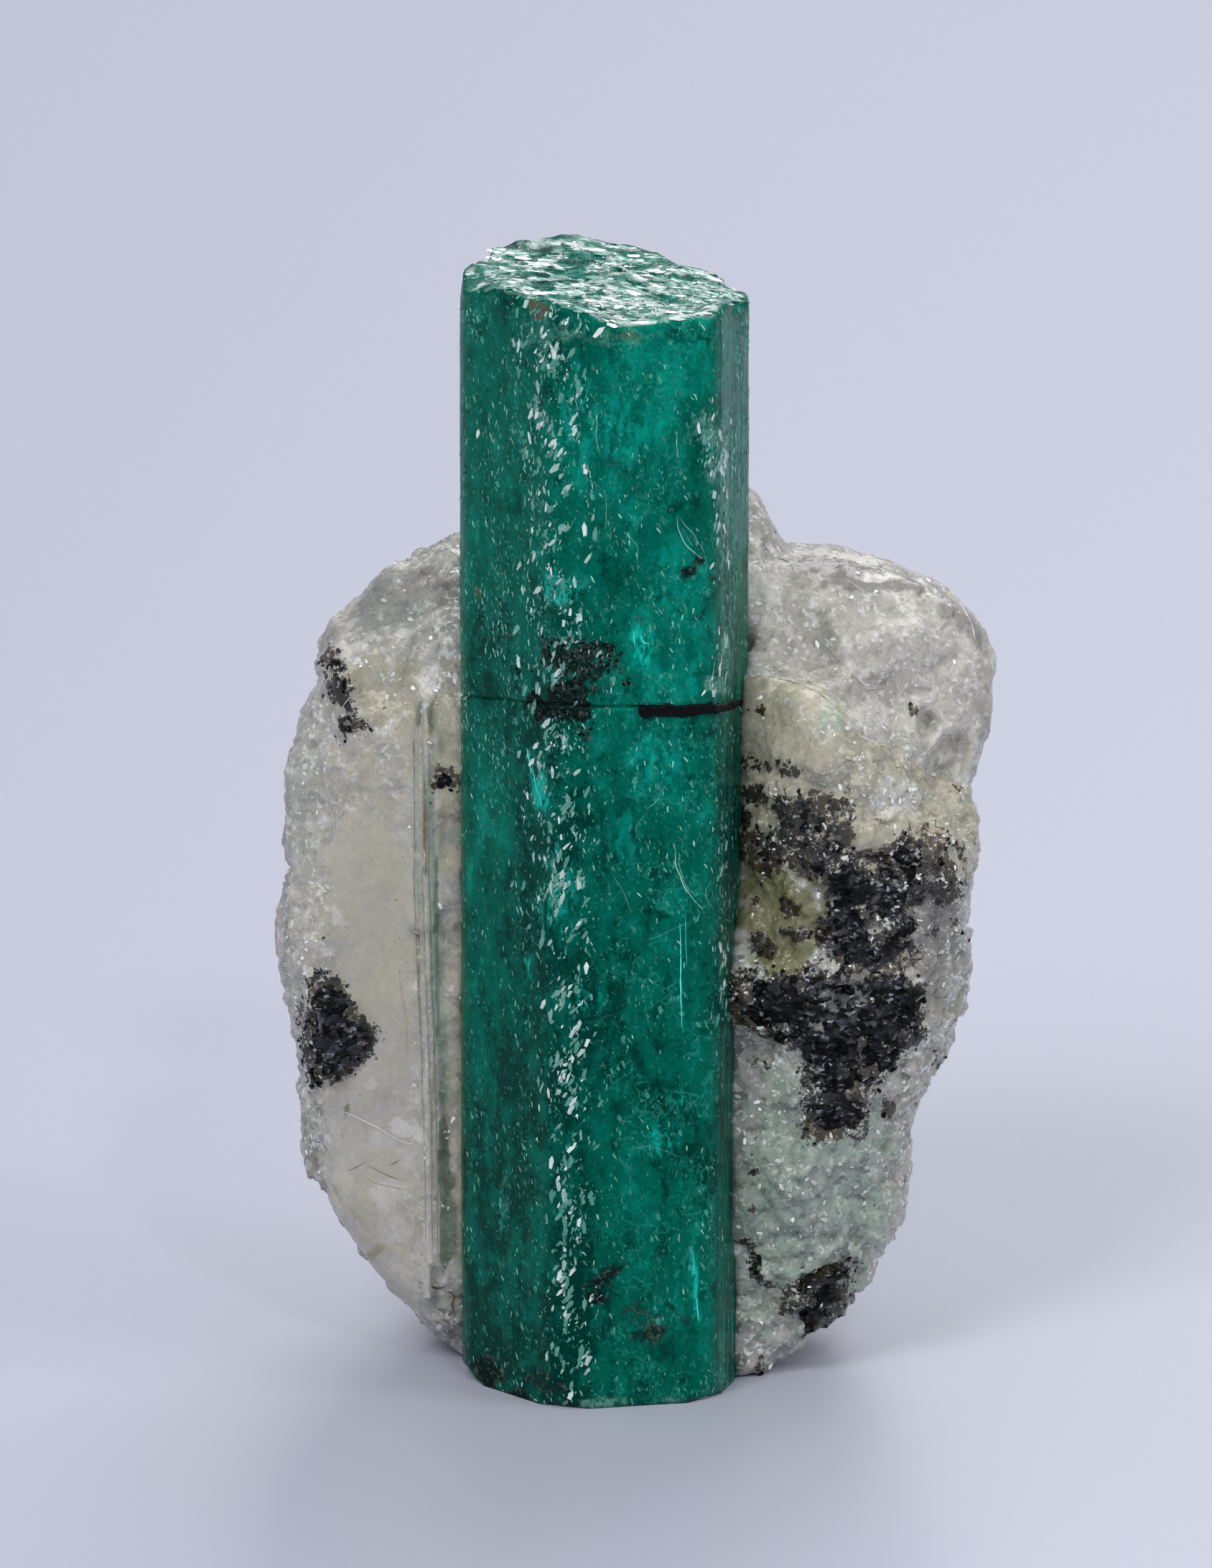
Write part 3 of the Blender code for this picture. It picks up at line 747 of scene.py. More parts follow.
@dataclass(frozen=True)
class QuartzFinish:
    """Milky quartz: glassy pinkish plates, sugary broken areas, beige, green and rusty stains, with
    painted shade, painted highlights and painted glints.
    """

    milk: Colour = (0.62, 0.585, 0.522)
    haze: Colour = (0.445, 0.42, 0.372)
    sugar: Colour = (0.525, 0.52, 0.455)
    shadow: Colour = (0.325, 0.326, 0.278)
    beige: Colour = (0.53, 0.49, 0.355)
    green: Colour = (0.32, 0.405, 0.33)
    reed: Colour = (0.15, 0.205, 0.135)
    # Pearly white, also painted highlight and painted light on a shaded hollow.
    pearl_and_highlight: Colour = (0.73, 0.71, 0.65)
    # Smoky grey, also painted shade.
    smoke_and_shade: Colour = (0.24, 0.228, 0.205)
    moss: Colour = (0.235, 0.235, 0.11)
    rust: Colour = (0.19, 0.125, 0.05)
    mica: Colour = (0.012, 0.01, 0.011)
    umber: Colour = (0.06, 0.044, 0.022)
    # Chalk white, also used for painted glints on the quartz.
    chalk_and_glint: Colour = (0.9, 0.9, 0.88)
    stains: tuple[tuple[str, float], ...] = (
        ("beige", 0.75), ("smoke_and_shade", 0.8), ("green", 0.85), ("reed", 0.85), ("pearl_and_highlight", 0.85),
        ("moss", 0.95),
    )
    roughness: float = 0.2
    ior: float = 1.54
    transmission: float = 0.12
    glow: float = 0.5
    glow_reach: float = 1.0
    glow_shares: Colour = (1.0, 0.95, 0.88)

    def _stones(self, graph: ShaderGraph, place: Wire, cloud: Wire, chips: Node) -> Wire:
        """Plain quartz: clouded where it is glassy, chip by chip where it is broken.

        Args:
            graph: The material's tree.
            place: Places in millimetres.
            cloud: Soft noise.
            chips: Cells of the broken chips.

        Returns:
            The colour.
        """
        lot = Wire(graph, chips.outputs["Color"])
        broken = graph.blend(graph.along(lot, "X").eased(0.0, 0.55), self.shadow, self.sugar)
        broken = graph.blend(graph.along(lot, "Y").eased(0.8, 1.0) * 0.45, broken, self.chalk_and_glint)
        clouds = (cloud + 0.02).eased(0.4, 0.6).most(0.62 * graph.painted("plate"))
        smooth = graph.blend(clouds, self.haze, self.milk)
        # Painted glints: bright specks and fine curls painted white.
        specks = graph.flecks(graph.stirred(place, 4.0, 0.08), (0.34, 0.34, 0.22), 0.2)
        specks = specks.most(graph.threads(place, 1.0, 0.018) * (cloud + 0.02).eased(0.46, 0.56))
        plain = 1.0 - 0.75 * graph.painted("plate")
        smooth = graph.blend(specks * 0.55 * plain, smooth, self.chalk_and_glint)
        return graph.blend(graph.painted("glassy"), broken, smooth)

    def material(self) -> Material:
        """Build the material.

        Returns:
            The material.
        """
        graph = ShaderGraph("milky_quartz_broken")
        place = graph.place()
        cloud = graph.noise(place, 0.42, detail=5.0, rough=0.62)
        grain = graph.noise(place, 3.0, detail=4.0, rough=0.75)
        chips = graph.cells(graph.stirred(place, 1.8, 0.3), 2.1)
        slivers = graph.cells(graph.stirred(place, 3.0, 0.2), 5.2)
        colour = self._stones(graph, place, cloud, chips)
        shade = Wire(graph, slivers.outputs["Color"])
        # Painted glints: a few small cells painted white.
        glint = graph.along(shade, "Z").eased(0.87, 0.92) * (1.0 - 0.8 * graph.painted("plate"))
        broken = 1.0 - graph.painted("glassy")
        colour = graph.blend(glint * (0.4 + 0.45 * broken), colour, self.chalk_and_glint)
        dull = graph.along(shade, "X").eased(0.86, 0.93) * (1.0 - 0.85 * graph.painted("plate"))
        colour = graph.blend(0.45 * dull, colour, self.shadow)
        edge = 0.9 * (cloud - 0.5) + 0.5 * (grain - 0.5)
        for name, strength in self.stains:
            spread = (graph.painted(name) + edge).eased(0.2, 0.8)
            colour = graph.blend(spread * strength, colour, getattr(self, name))
        colour = graph.shaded(colour, 0.72 + 0.56 * grain)
        colour = graph.blend(graph.worn("rust", grain, 0.9, 0.3, 0.75) * 0.85, colour, self.rust)
        dark = graph.worn("mica", grain, 2.8, 0.46, 0.6)
        soot = graph.blend(cloud.eased(0.45, 0.6), self.mica, self.umber)
        colour = graph.blend(0.95 * dark, colour, soot)
        normal = graph.tilted(chips, 0.1 + 0.55 * broken)
        push = graph.centred(Wire(graph, slivers.outputs["Color"]), 0.1 + 0.45 * broken)
        normal = graph.vector("ADD", normal, push)
        normal = graph.bumped(graph.noise(place, 7.0, detail=3.0, rough=0.6), 0.03, normal)
        shader = {
            "Base Color": colour,
            "Roughness": self.roughness + 0.2 * (1.0 - grain) - 0.14 * broken,
            "Normal": normal,
            "IOR": self.ior,
            "Transmission Weight": self.transmission,
            "Subsurface Weight": self.glow,
            "Subsurface Radius": self.glow_shares,
            "Subsurface Scale": self.glow_reach * MM,
        }
        return graph.finished(shader)


@dataclass(frozen=True)
class BiotiteFinish:
    """Black mica in small glossy books, with a painted silvery sheen on some leaves and olive-brown
    rims.
    """

    name: str = "biotite_books"
    black: Colour = (0.003, 0.003, 0.004)
    slate: Colour = (0.075, 0.075, 0.088)
    # Painted reflection: silvery sheen on the mica's leaves.
    silver_sheen: Colour = (0.42, 0.43, 0.46)
    brown: Colour = (0.036, 0.026, 0.01)
    stone: Colour = (0.24, 0.24, 0.215)
    brown_share: float = 0.0
    stone_share: float = 0.0
    gloss: float = 0.1

    def material(self) -> Material:
        """Build the material.

        Returns:
            The material.
        """
        graph = ShaderGraph(self.name)
        place = graph.place()
        loose = graph.stirred(place, 2.5, 0.22)
        books = graph.cells(graph.stretched(loose, (1.0, 1.0, 1.5)), 1.9)
        leaves = graph.cells(graph.stretched(loose, (1.0, 1.0, 1.8)), 4.6)
        grain = graph.noise(place, 3.0, detail=4.0, rough=0.7)
        lot, leaf = (Wire(graph, cells.outputs["Color"]) for cells in (books, leaves))
        colour = graph.blend(graph.along(lot, "X").eased(0.5, 1.0), self.black, self.slate)
        colour = graph.blend(graph.along(leaf, "X").eased(0.7, 0.95) * 0.7, colour, self.slate)
        rim = (graph.painted("rim") + 1.2 * (grain - 0.5) + self.brown_share).eased(0.45, 0.85)
        colour = graph.blend(rim * 0.85, colour, self.brown)
        loosely = graph.noise(place, 0.55, detail=2.0).eased(0.42, 0.58)
        loosely = loosely * (1.0 - 0.85 * graph.painted("solid"))
        colour = graph.shaded(colour, (0.15 + 1.7 * grain) * (0.22 + 0.78 * loosely))
        # Painted reflection: a few leaves painted silvery.
        sheen = graph.along(leaf, "Y").eased(0.9, 0.94) * (0.15 + 0.75 * loosely)
        colour = graph.blend(sheen, colour, self.silver_sheen)
        stone = graph.noise(loose, 1.1, detail=4.0, rough=0.65) + self.stone_share
        stone = (stone - 0.2 * graph.painted("solid")).eased(0.6, 0.66)
        colour = graph.blend(stone * 0.85, colour, self.stone)
        normal = graph.tilted(books, 0.75)
        normal = graph.vector("ADD", normal, graph.centred(leaf, 0.55))
        normal = graph.bumped(graph.noise(place, 6.0, detail=3.0), 0.05, normal)
        shader = {
            "Base Color": colour,
            "Roughness": 0.2 + 0.35 * graph.along(lot, "Y"),
            "Normal": normal,
            "IOR": 1.6,
            "Specular IOR Level": self.gloss,
        }
        return graph.finished(shader)


@dataclass(frozen=True)
class ChipFinish:
    """Small bright chips or lines, each chip with its own shade."""

    name: str
    dark: Colour
    light: Colour
    roughness: float
    metallic: float = 0.0
    gloss: float = 0.5

    def material(self) -> Material:
        """Build the material.

        Returns:
            The material.
        """
        graph = ShaderGraph(self.name)
        grain = graph.noise(graph.place(), 4.0, detail=3.0, rough=0.7)
        shade = graph.painted("shade") + 0.8 * (grain - 0.5)
        shader = {
            "Base Color": graph.blend(shade.eased(0.0, 1.0), self.dark, self.light),
            "Roughness": self.roughness,
            "Metallic": self.metallic,
            "IOR": 1.58,
            "Specular IOR Level": self.gloss,
        }
        return graph.finished(shader)


@dataclass(frozen=True)
class StudioFinish:
    """Pale, faintly glossy studio surface with a fine grain."""

    colour: Colour = (0.455, 0.47, 0.55)

    def material(self) -> Material:
        """Build the material.

        Returns:
            The material.
        """
        graph = ShaderGraph("studio_pale")
        place = graph.place()
        grain = graph.noise(place, 2.2, detail=2.0)
        plain = graph.wire("ShaderNodeNewGeometry", output="Normal")
        shader = {
            "Base Color": (*self.colour, 1.0),
            "Roughness": 0.42,
            "Normal": graph.bumped(grain, 0.015, plain),
        }
        return graph.finished(shader)


# ---- Chips strewn over a surface ----


class ChipShape(Enum):
    """What one chip looks like before it is scaled."""

    PLATE = "plate"
    SPLINTER = "splinter"
    GRAIN = "grain"


@dataclass(frozen=True)
class Strewing:
    """How chips lie on a surface.

    Attributes:
        name: Name of the finished piece.
        shape: What a chip looks like.
        painted: Painted value that the density is multiplied by.
        density: Chips in a square millimetre where that value is 1.
        shortest: Length of the smallest chips in millimetres.
        longest: Length of the largest.
        slimness: Width as a share of the length.
        thinness: Thickness as a share of the length.
        lean: Largest turn on the surface, in degrees.
        tilt: Largest tilt off the surface, in degrees.
        stand: Height of a chip's middle above the surface in millimetres.
        warp: How far corners are pushed about, so that no two chips are alike.
        along: Direction that the chips' length follows.
        seed: Picks the random places.
    """

    name: str
    shape: ChipShape
    painted: str
    density: float
    shortest: float
    longest: float
    slimness: float
    thinness: float
    lean: float
    tilt: float
    stand: float
    seed: int
    warp: float = 0.06
    along: tuple[float, float, float] = (0.0, 0.0, 1.0)

    def sizes(self) -> dict[str, float | int]:
        """Named inputs of the node tree.

        Returns:
            The value of each input by its name.
        """
        return {
            "Density": self.density / MM**2,
            "Shortest": self.shortest * MM,
            "Longest": self.longest * MM,
            "Slimness": self.slimness,
            "Thinness": self.thinness,
            "Lean": math.radians(self.lean),
            "Tilt": math.radians(self.tilt),
            "Stand": self.stand * MM,
            "Warp": 2.0 * self.warp * MM,
            "Seed": self.seed,
        }

    def _chip(self, graph: Graph) -> Wire:
        """Add the nodes that make one chip, a unit long.

        Args:
            graph: The tree.

        Returns:
            The chip.
        """
        if self.shape is ChipShape.PLATE:
            sockets = {"Vertices": 5, "Radius": 0.5, "Depth": 1.0}
            return graph.wire("GeometryNodeMeshCylinder", sockets=sockets)
        if self.shape is ChipShape.SPLINTER:
            sockets = {"Segments": 5, "Rings": 2, "Radius": 0.5}
            return graph.wire("GeometryNodeMeshUVSphere", sockets=sockets)
        return graph.wire("GeometryNodeMeshIcoSphere", sockets={"Radius": 0.5, "Subdivisions": 1})

    def _warped(self, graph: Graph, chips: Wire, amount: Wire) -> Wire:
        """Add the nodes that push the chips' corners about.

        Args:
            graph: The tree.
            chips: The chips, realised.
            amount: Largest push.

        Returns:
            The warped chips.
        """
        cloud = graph.wire("ShaderNodeTexNoise", sockets={"Scale": 5.5 / MM}, output="Color")
        sockets = {"Geometry": chips, "Offset": graph.centred(cloud, amount)}
        return graph.wire("GeometryNodeSetPosition", sockets=sockets)

    @staticmethod
    def _lot(graph: Graph, seed: Wire) -> Wire:
        """Add a random number from 0 to 1 for each chip."""
        sockets = {2: 0.0, 3: 1.0, "Seed": seed}
        return graph.wire("FunctionNodeRandomValue", {"data_type": "FLOAT"}, sockets, output=1)

    def _turn(self, graph: Graph, inputs: Node, normal: Wire) -> Wire:
        """Add the nodes that turn a chip along its surface and then lean and tilt it.

        Args:
            graph: The tree.
            inputs: Its group input.
            normal: Normal of the surface.

        Returns:
            The chip's rotation.
        """
        flat = graph.wire("FunctionNodeAlignRotationToVector", {"axis": "Z"}, {"Vector": normal})
        settings = {"axis": "X", "pivot_axis": "Z"}
        sockets = {"Rotation": flat, "Vector": self.along}
        aligned = graph.wire("FunctionNodeAlignRotationToVector", settings, sockets)
        lean, tilt = (Wire(graph, inputs.outputs[name]) for name in ("Lean", "Tilt"))
        most = graph.wire("ShaderNodeCombineXYZ", sockets={0: tilt, 1: tilt, 2: lean})
        least = graph.vector("SCALE", most, -1.0)
        sockets = {0: least, 1: most, "Seed": Wire(graph, inputs.outputs["Seed"]) + 1.0}
        swing = graph.wire("FunctionNodeRandomValue", {"data_type": "FLOAT_VECTOR"}, sockets)
        turn = graph.wire("FunctionNodeEulerToRotation", sockets={0: swing})
        sockets = {"Rotation": aligned, "Rotate By": turn}
        return graph.wire("FunctionNodeRotateRotation", {"rotation_space": "LOCAL"}, sockets)

    def _tree(self, material: Material) -> tuple[bpy.types.NodeTree, dict[str, float | int]]:
        """Build the node tree.

        Args:
            material: Finish of the chips.

        Returns:
            The tree, and the value of each modifier input by its identifier.
        """
        tree = bpy.data.node_groups.new(f"{self.name}_tree", "GeometryNodeTree")
        tree.interface.new_socket("Surface", in_out="INPUT", socket_type="NodeSocketGeometry")
        tree.interface.new_socket("Chips", in_out="OUTPUT", socket_type="NodeSocketGeometry")
        values = {}
        for name, value in self.sizes().items():
            kind = "NodeSocketInt" if isinstance(value, int) else "NodeSocketFloat"
            socket = tree.interface.new_socket(name, in_out="INPUT", socket_type=kind)
            values[socket.identifier] = value
        graph = Graph(tree)
        inputs = graph.node("NodeGroupInput")
        given = {name: Wire(graph, inputs.outputs[name]) for name in self.sizes()}
        share = graph.wire(
            "GeometryNodeInputNamedAttribute", {"data_type": "FLOAT"}, {"Name": self.painted}
        )
        sockets = {
            "Mesh": Wire(graph, inputs.outputs["Surface"]),
            "Density": share * given["Density"],
            "Seed": given["Seed"],
        }
        spread = graph.node("GeometryNodeDistributePointsOnFaces", sockets=sockets)
        turn = self._turn(graph, inputs, Wire(graph, spread.outputs["Normal"]))
        lot = self._lot(graph, given["Seed"] + 2.0)
        length = given["Shortest"] + (given["Longest"] - given["Shortest"]) * lot * lot * lot
        scale = graph.wire(
            "ShaderNodeCombineXYZ",
            sockets={0: length, 1: length * given["Slimness"], 2: length * given["Thinness"]},
        )
        sockets = {
            "Points": Wire(graph, spread.outputs["Points"]),
            "Instance": self._chip(graph),
            "Rotation": turn,
            "Scale": scale,
        }
        chips = graph.wire("GeometryNodeInstanceOnPoints", sockets=sockets)
        lift = graph.wire("ShaderNodeCombineXYZ", sockets={2: given["Stand"]})
        sockets = {"Instances": chips, "Translation": lift, "Local Space": True}
        raised = graph.wire("GeometryNodeTranslateInstances", sockets=sockets)
        shade = self._lot(graph, given["Seed"] + 3.0)
        settings = {"data_type": "FLOAT", "domain": "INSTANCE"}
        sockets = {"Geometry": raised, "Name": "shade", "Value": shade * shade}
        stored = graph.wire("GeometryNodeStoreNamedAttribute", settings, sockets)
        real = graph.wire("GeometryNodeRealizeInstances", sockets={0: stored})
        shards = self._warped(graph, real, given["Warp"])
        sockets = {"Geometry": shards, "Material": material}
        done = graph.wire("GeometryNodeSetMaterial", sockets=sockets)
        graph.node("NodeGroupOutput", sockets={"Chips": done})
        return tree, values

    def strew(self, surface: Object, material: Material) -> Object:
        """Strew the chips over a surface.

        Args:
            surface: Painted mesh object that stays as it is.
            material: Finish of the chips.

        Returns:
            All chips as one plain mesh object.
        """
        tree, values = self._tree(material)
        host = new_object(f"{self.name}_host", surface.data.copy())
        modifier = host.modifiers.new("chips", "NODES")
        modifier.node_group = tree
        for identifier, value in values.items():
            modifier[identifier] = value
        chips = evaluated_copy(self.name, host)
        chips.data.shade_flat()
        dress(chips, material)
        return chips


# ---- Fine raised lines ----


@dataclass(frozen=True)
class Trace:
    """A fine raised line on the specimen's front.

    Attributes:
        bends: Its bends, by x and seen level in millimetres.
        width: Width in millimetres.
        shade: Where its colour lies between the finish's dark and light.
    """

    bends: Line
    width: float
    shade: float


Traces = tuple[Trace, ...]


def traces(*rows: tuple[float | Span, ...]) -> Traces:
    """Traces from rows that give a width, a shade and bends."""
    return tuple(Trace(tuple(bends), width, shade) for width, shade, *bends in rows)


@dataclass(frozen=True)
class TraceSet:
    """Lines that follow one surface, made as one piece.

    Attributes:
        name: Name of the finished piece.
        traces: The lines.
        height: Height above the surface, as a share of a line's width.
        wobble: How far the lines wander, in millimetres.
        step: Distance between the rings of points, in millimetres.
        sides: Points in a ring.
    """

    name: str
    traces: Traces
    height: float = 0.5
    wobble: float = 0.06
    step: float = 0.12
    sides: int = 6

    def _path(self, trace: Trace) -> Array:
        """Evenly spaced points of a line, by x and seen level.

        Args:
            trace: The line.

        Returns:
            One row of x and seen level for each point.
        """
        bends = np.array(trace.bends)
        for _ in range(3):
            start, end = bends[:-1], bends[1:]
            cut = np.stack([0.75 * start + 0.25 * end, 0.25 * start + 0.75 * end], 1)
            bends = np.concatenate([bends[:1], cut.reshape(-1, 2), bends[-1:]])
        reach = np.concatenate([[0.0], np.cumsum(np.hypot(*np.diff(bends, axis=0).T))])
        at = np.linspace(0.0, reach[-1], max(4, int(reach[-1] / self.step)))
        path = np.column_stack([np.interp(at, reach, bends[:, axis]) for axis in (0, 1)])
        flat = np.column_stack([path, np.zeros(len(path))])
        path[:, 0] += self.wobble * ripple(flat, 0.5, 1.0) + self.wobble * ripple(flat, 1.7, 7.0)
        path[:, 1] += self.wobble * ripple(flat, 0.6, 4.0)
        return path

    def _tube(self, form: bmesh.types.BMesh, shell: BVHTree, trace: Trace) -> int:
        """Add one line to a form and return how many corners it has.

        Args:
            form: Form that gets the line.
            shell: Surface that it follows.
            trace: The line.

        Returns:
            How many corners the line has.
        """
        hits = [hit for hit in (sighted(shell, x, level) for x, level in self._path(trace)) if hit]
        if len(hits) < 4:
            return 0
        places = np.array([hit[0] for hit in hits])
        normals = np.array([hit[1] for hit in hits])
        for _ in range(3):
            places[1:-1] = (places[:-2] + 2.0 * places[1:-1] + places[2:]) / 4.0
            normals[1:-1] = (normals[:-2] + normals[1:-1] + normals[2:]) / 3.0
        tangents = np.gradient(places, axis=0)
        across = np.cross(tangents, normals)
        across /= np.linalg.norm(across, axis=1)[:, None]
        normals = np.cross(across, tangents)
        normals /= np.linalg.norm(normals, axis=1)[:, None]
        share = np.linspace(0.0, 1.0, len(places))
        taper = np.clip(np.sin(math.pi * share), 0.02, 1.0) ** 0.5
        taper *= 0.75 + 0.45 * ripple(places, 0.45, 3.0)
        angles = 2.0 * math.pi * np.arange(self.sides) / self.sides
        rings = []
        for place, side, up, size in zip(places, across, normals, trace.width * taper):
            ring = [
                place + size * (0.5 * math.cos(angle) * side + self.height * math.sin(angle) * up)
                for angle in angles
            ]
            rings.append([form.verts.new(Vector(point) * MM) for point in ring])
        for low, high in zip(rings, rings[1:]):
            for index in range(self.sides):
                after = (index + 1) % self.sides
                form.faces.new((low[index], low[after], high[after], high[index]))
        form.faces.new(rings[0][::-1])
        form.faces.new(rings[-1])
        return self.sides * len(rings)

    def build(self, carrier: Object, finish: ChipFinish, slot: str) -> None:
        """Build, dress and keep the lines.

        Args:
            carrier: Surface that the lines follow.
            finish: Their finish.
            slot: Handed on to keep, which does not use it.
        """
        form = bmesh.new()
        form.from_mesh(carrier.data)
        shell, form = shell_from(form), bmesh.new()
        counts = [self._tube(form, shell, trace) for trace in self.traces]
        bmesh.ops.recalc_face_normals(form, faces=form.faces)
        mesh = bpy.data.meshes.new(self.name)
        form.to_mesh(mesh)
        form.free()
        lines = new_object(self.name, mesh)
        paint(lines, "shade", np.repeat([trace.shade for trace in self.traces], counts))
        lines.data.shade_smooth()
        dress(lines, finish.material())
        keep(lines, slot)


# ---- Emerald crystal ----


@dataclass
class EmeraldCrystal:
    """The six-sided crystal, with its broken top, crack, chipped base and flakes.

    Lengths are in millimetres.
    """

    solid: Object
    around: int = 256
    row_step: float = 0.2
    plain_level: float = 20.0
    chipped_height: float = 4.0
    top_blend: float = 46.0
    top_nominal: float = 52.8
    cap_rings: int = 44
    crack_height: float = 32.52
    crack_rise: Span = (-0.039, -0.221)
    crack_depth: float = 0.3
    crack_half_width: float = 0.075
    crack_reach: float = 4.0
    rim_chip: float = 0.26
    rim_height: float = 0.75
    corner_drop: float = 0.35
    ledge_size: Span = (2.4, 0.8)
    ledge_step: float = 0.12
    clot_middle: Span = (-1.2, 31.9)

    dirt_spots: Spots = spots(
        (-1.3, 32.9, 2.2, 1.3, 0.74, 10.0), (-2.1, 30.85, 1.45, 0.62, 3.2, 6.0),
        (-1.6, 31.8, 0.9, 0.8, 0.9), (-1.1, 29.8, 0.4, 0.7, 0.6, -20.0),
        (-4.4, 34.2, 0.5, 0.4, 0.5), (1.7, 34.9, 0.45, 0.25, 0.5),
        (0.8, 41.4, 0.45, 1.7, 0.44, -42.0), (-0.3, 46.3, 0.35, 0.25, 0.45),
        (4.3, 37.6, 0.4, 0.3, 0.85), (3.8, 37.1, 0.5, 0.32, 0.85), (4.8, 36.8, 0.3, 0.25, 0.7),
        (0.9, 32.0, 0.5, 0.15, 0.7), (-0.2, 4.2, 1.2, 0.55, 0.76, -40.0),
        (-0.6, 3.5, 0.7, 0.45, 0.9), (2.1, 1.9, 1.1, 0.8, 0.72), (1.3, 2.7, 0.9, 0.7, 0.55),
        (3.7, 2.4, 0.4, 0.3, 0.6), (-2.8, -0.4, 1.4, 0.7, 0.6, 20.0), (-5.6, -0.1, 1.0, 0.9, 0.85),
        (-4.2, -1.3, 1.2, 0.5, 0.8), (3.4, -1.6, 1.5, 0.4, 0.6), (-2.6, 1.2, 1.4, 0.7, 0.35),
    )
    rust_spots: Spots = spots(
        (-3.1, 49.0, 0.45, 0.55, 1.0), (-5.9, 36.3, 0.3, 0.4, 0.6), (0.8, 47.8, 0.8, 0.3, 0.5),
        (6.0, 32.0, 0.3, 3.0, 0.35),
    )
    frost_spots: Spots = spots(
        (4.7, 43.4, 1.2, 1.0, 0.7, 25.0), (5.1, 42.0, 0.6, 1.4, 0.62, 15.0),
        (5.3, 39.9, 0.45, 1.3, 0.55), (5.3, 37.8, 0.45, 1.1, 0.52, 10.0),
        (5.45, 33.4, 0.35, 1.5, 0.66, 8.0), (5.15, 31.9, 0.65, 0.4, 1.35, 20.0),
        (-2.8, 47.9, 1.6, 0.8, 0.45), (0.5, 47.7, 2.6, 0.5, 0.5), (-3.0, 44.4, 0.5, 1.1, 0.4),
        (-2.1, 35.8, 1.0, 1.3, 0.38), (-0.2, -1.6, 1.4, 0.5, 0.95), (3.0, -1.4, 1.2, 0.3, 0.6),
        (-4.8, 7.0, 0.35, 3.0, 0.35),
    )
    flake_spots: Spots = spots(
        (4.9, 42.8, 0.8, 1.7, 0.5), (5.2, 39.0, 0.45, 2.6, 0.42), (5.3, 33.3, 0.4, 1.5, 0.45),
        (5.0, 31.9, 0.6, 0.3, 0.6), (5.4, 21.0, 0.35, 7.0, 0.22),
    )
    # Where flashes of light inside the crystal are painted in as glow.
    painted_flash_spots: Spots = spots(
        (4.15, 3.9, 0.17, 2.1, 1.0, -4.0), (1.85, 2.0, 0.16, 0.7, 0.8),
        (3.46, 12.4, 0.14, 0.9, 0.8), (-2.2, 36.3, 1.0, 1.0, 0.75), (-1.2, 44.0, 1.0, 2.6, 0.35),
        (1.6, 33.6, 0.7, 1.2, 0.85), (2.2, 28.2, 1.6, 1.6, 0.36),
        (-3.1, 27.2, 0.4, 1.6, 0.8, -10.0), (-2.2, 22.5, 0.9, 2.4, 0.45),
        (0.6, 43.5, 2.2, 1.6, 0.3), (1.0, 24.8, 0.9, 1.6, 0.22), (-4.9, 7.7, 0.2, 1.2, 0.85),
        (-3.6, 18.8, 0.25, 0.6, 0.75), (-1.0, 17.4, 0.9, 0.8, 0.35), (2.6, 10.9, 0.9, 1.0, 0.5),
    )

    veils: Traces = traces(
        (0.05, 0.7, (3.25, 39.6), (3.3, 38.9), (3.7, 38.2), (4.2, 37.8), (4.6, 37.6)),
        (0.04, 0.5, (3.35, 39.6), (3.8, 39.0), (4.2, 38.4), (4.6, 37.8)),
        (0.03, 0.3, (3.5, 39.1), (3.7, 38.6), (4.1, 38.1)),
        (0.04, 0.6, (-0.45, 44.2), (-0.42, 43.0), (-0.3, 42.4)),
        (0.035, 0.4, (0.0, 40.4), (0.05, 39.6), (-0.1, 38.9)),
        (0.045, 0.4, (4.9, 35.3), (5.6, 35.1), (5.85, 34.3), (5.9, 33.2), (5.8, 32.2)),
        (0.05, 0.7, (5.05, 33.0), (4.95, 32.3), (4.65, 31.6), (5.5, 31.35)),
        (0.04, 0.6, (3.25, 43.4), (3.24, 42.8), (3.3, 42.2)),
        (0.06, 0.8, (3.2, 24.4), (3.15, 23.6), (3.5, 22.7), (4.2, 21.8), (4.8, 21.4)),
        (0.045, 0.4, (3.35, 24.0), (3.4, 23.1), (3.9, 22.3), (4.5, 21.9)),
        (0.045, 0.5, (4.9, 22.9), (4.6, 22.2), (4.9, 21.6)),
        (0.035, 0.2, (3.9, 20.9), (3.0, 20.6), (2.3, 20.2), (1.7, 20.1)),
        (0.04, 0.3, (1.8, 25.9), (1.2, 25.2), (1.6, 24.6)),
        (0.04, 0.4, (2.6, 26.9), (2.2, 26.3), (1.9, 26.2)),
        (0.035, 0.3, (0.3, 23.1), (0.9, 22.1), (1.2, 21.3)),
        (0.04, 0.2, (0.9, 10.4), (2.2, 10.6), (3.4, 10.0)),
        (0.04, 0.3, (1.0, 38.8), (1.5, 38.2), (1.4, 37.3)),
    )
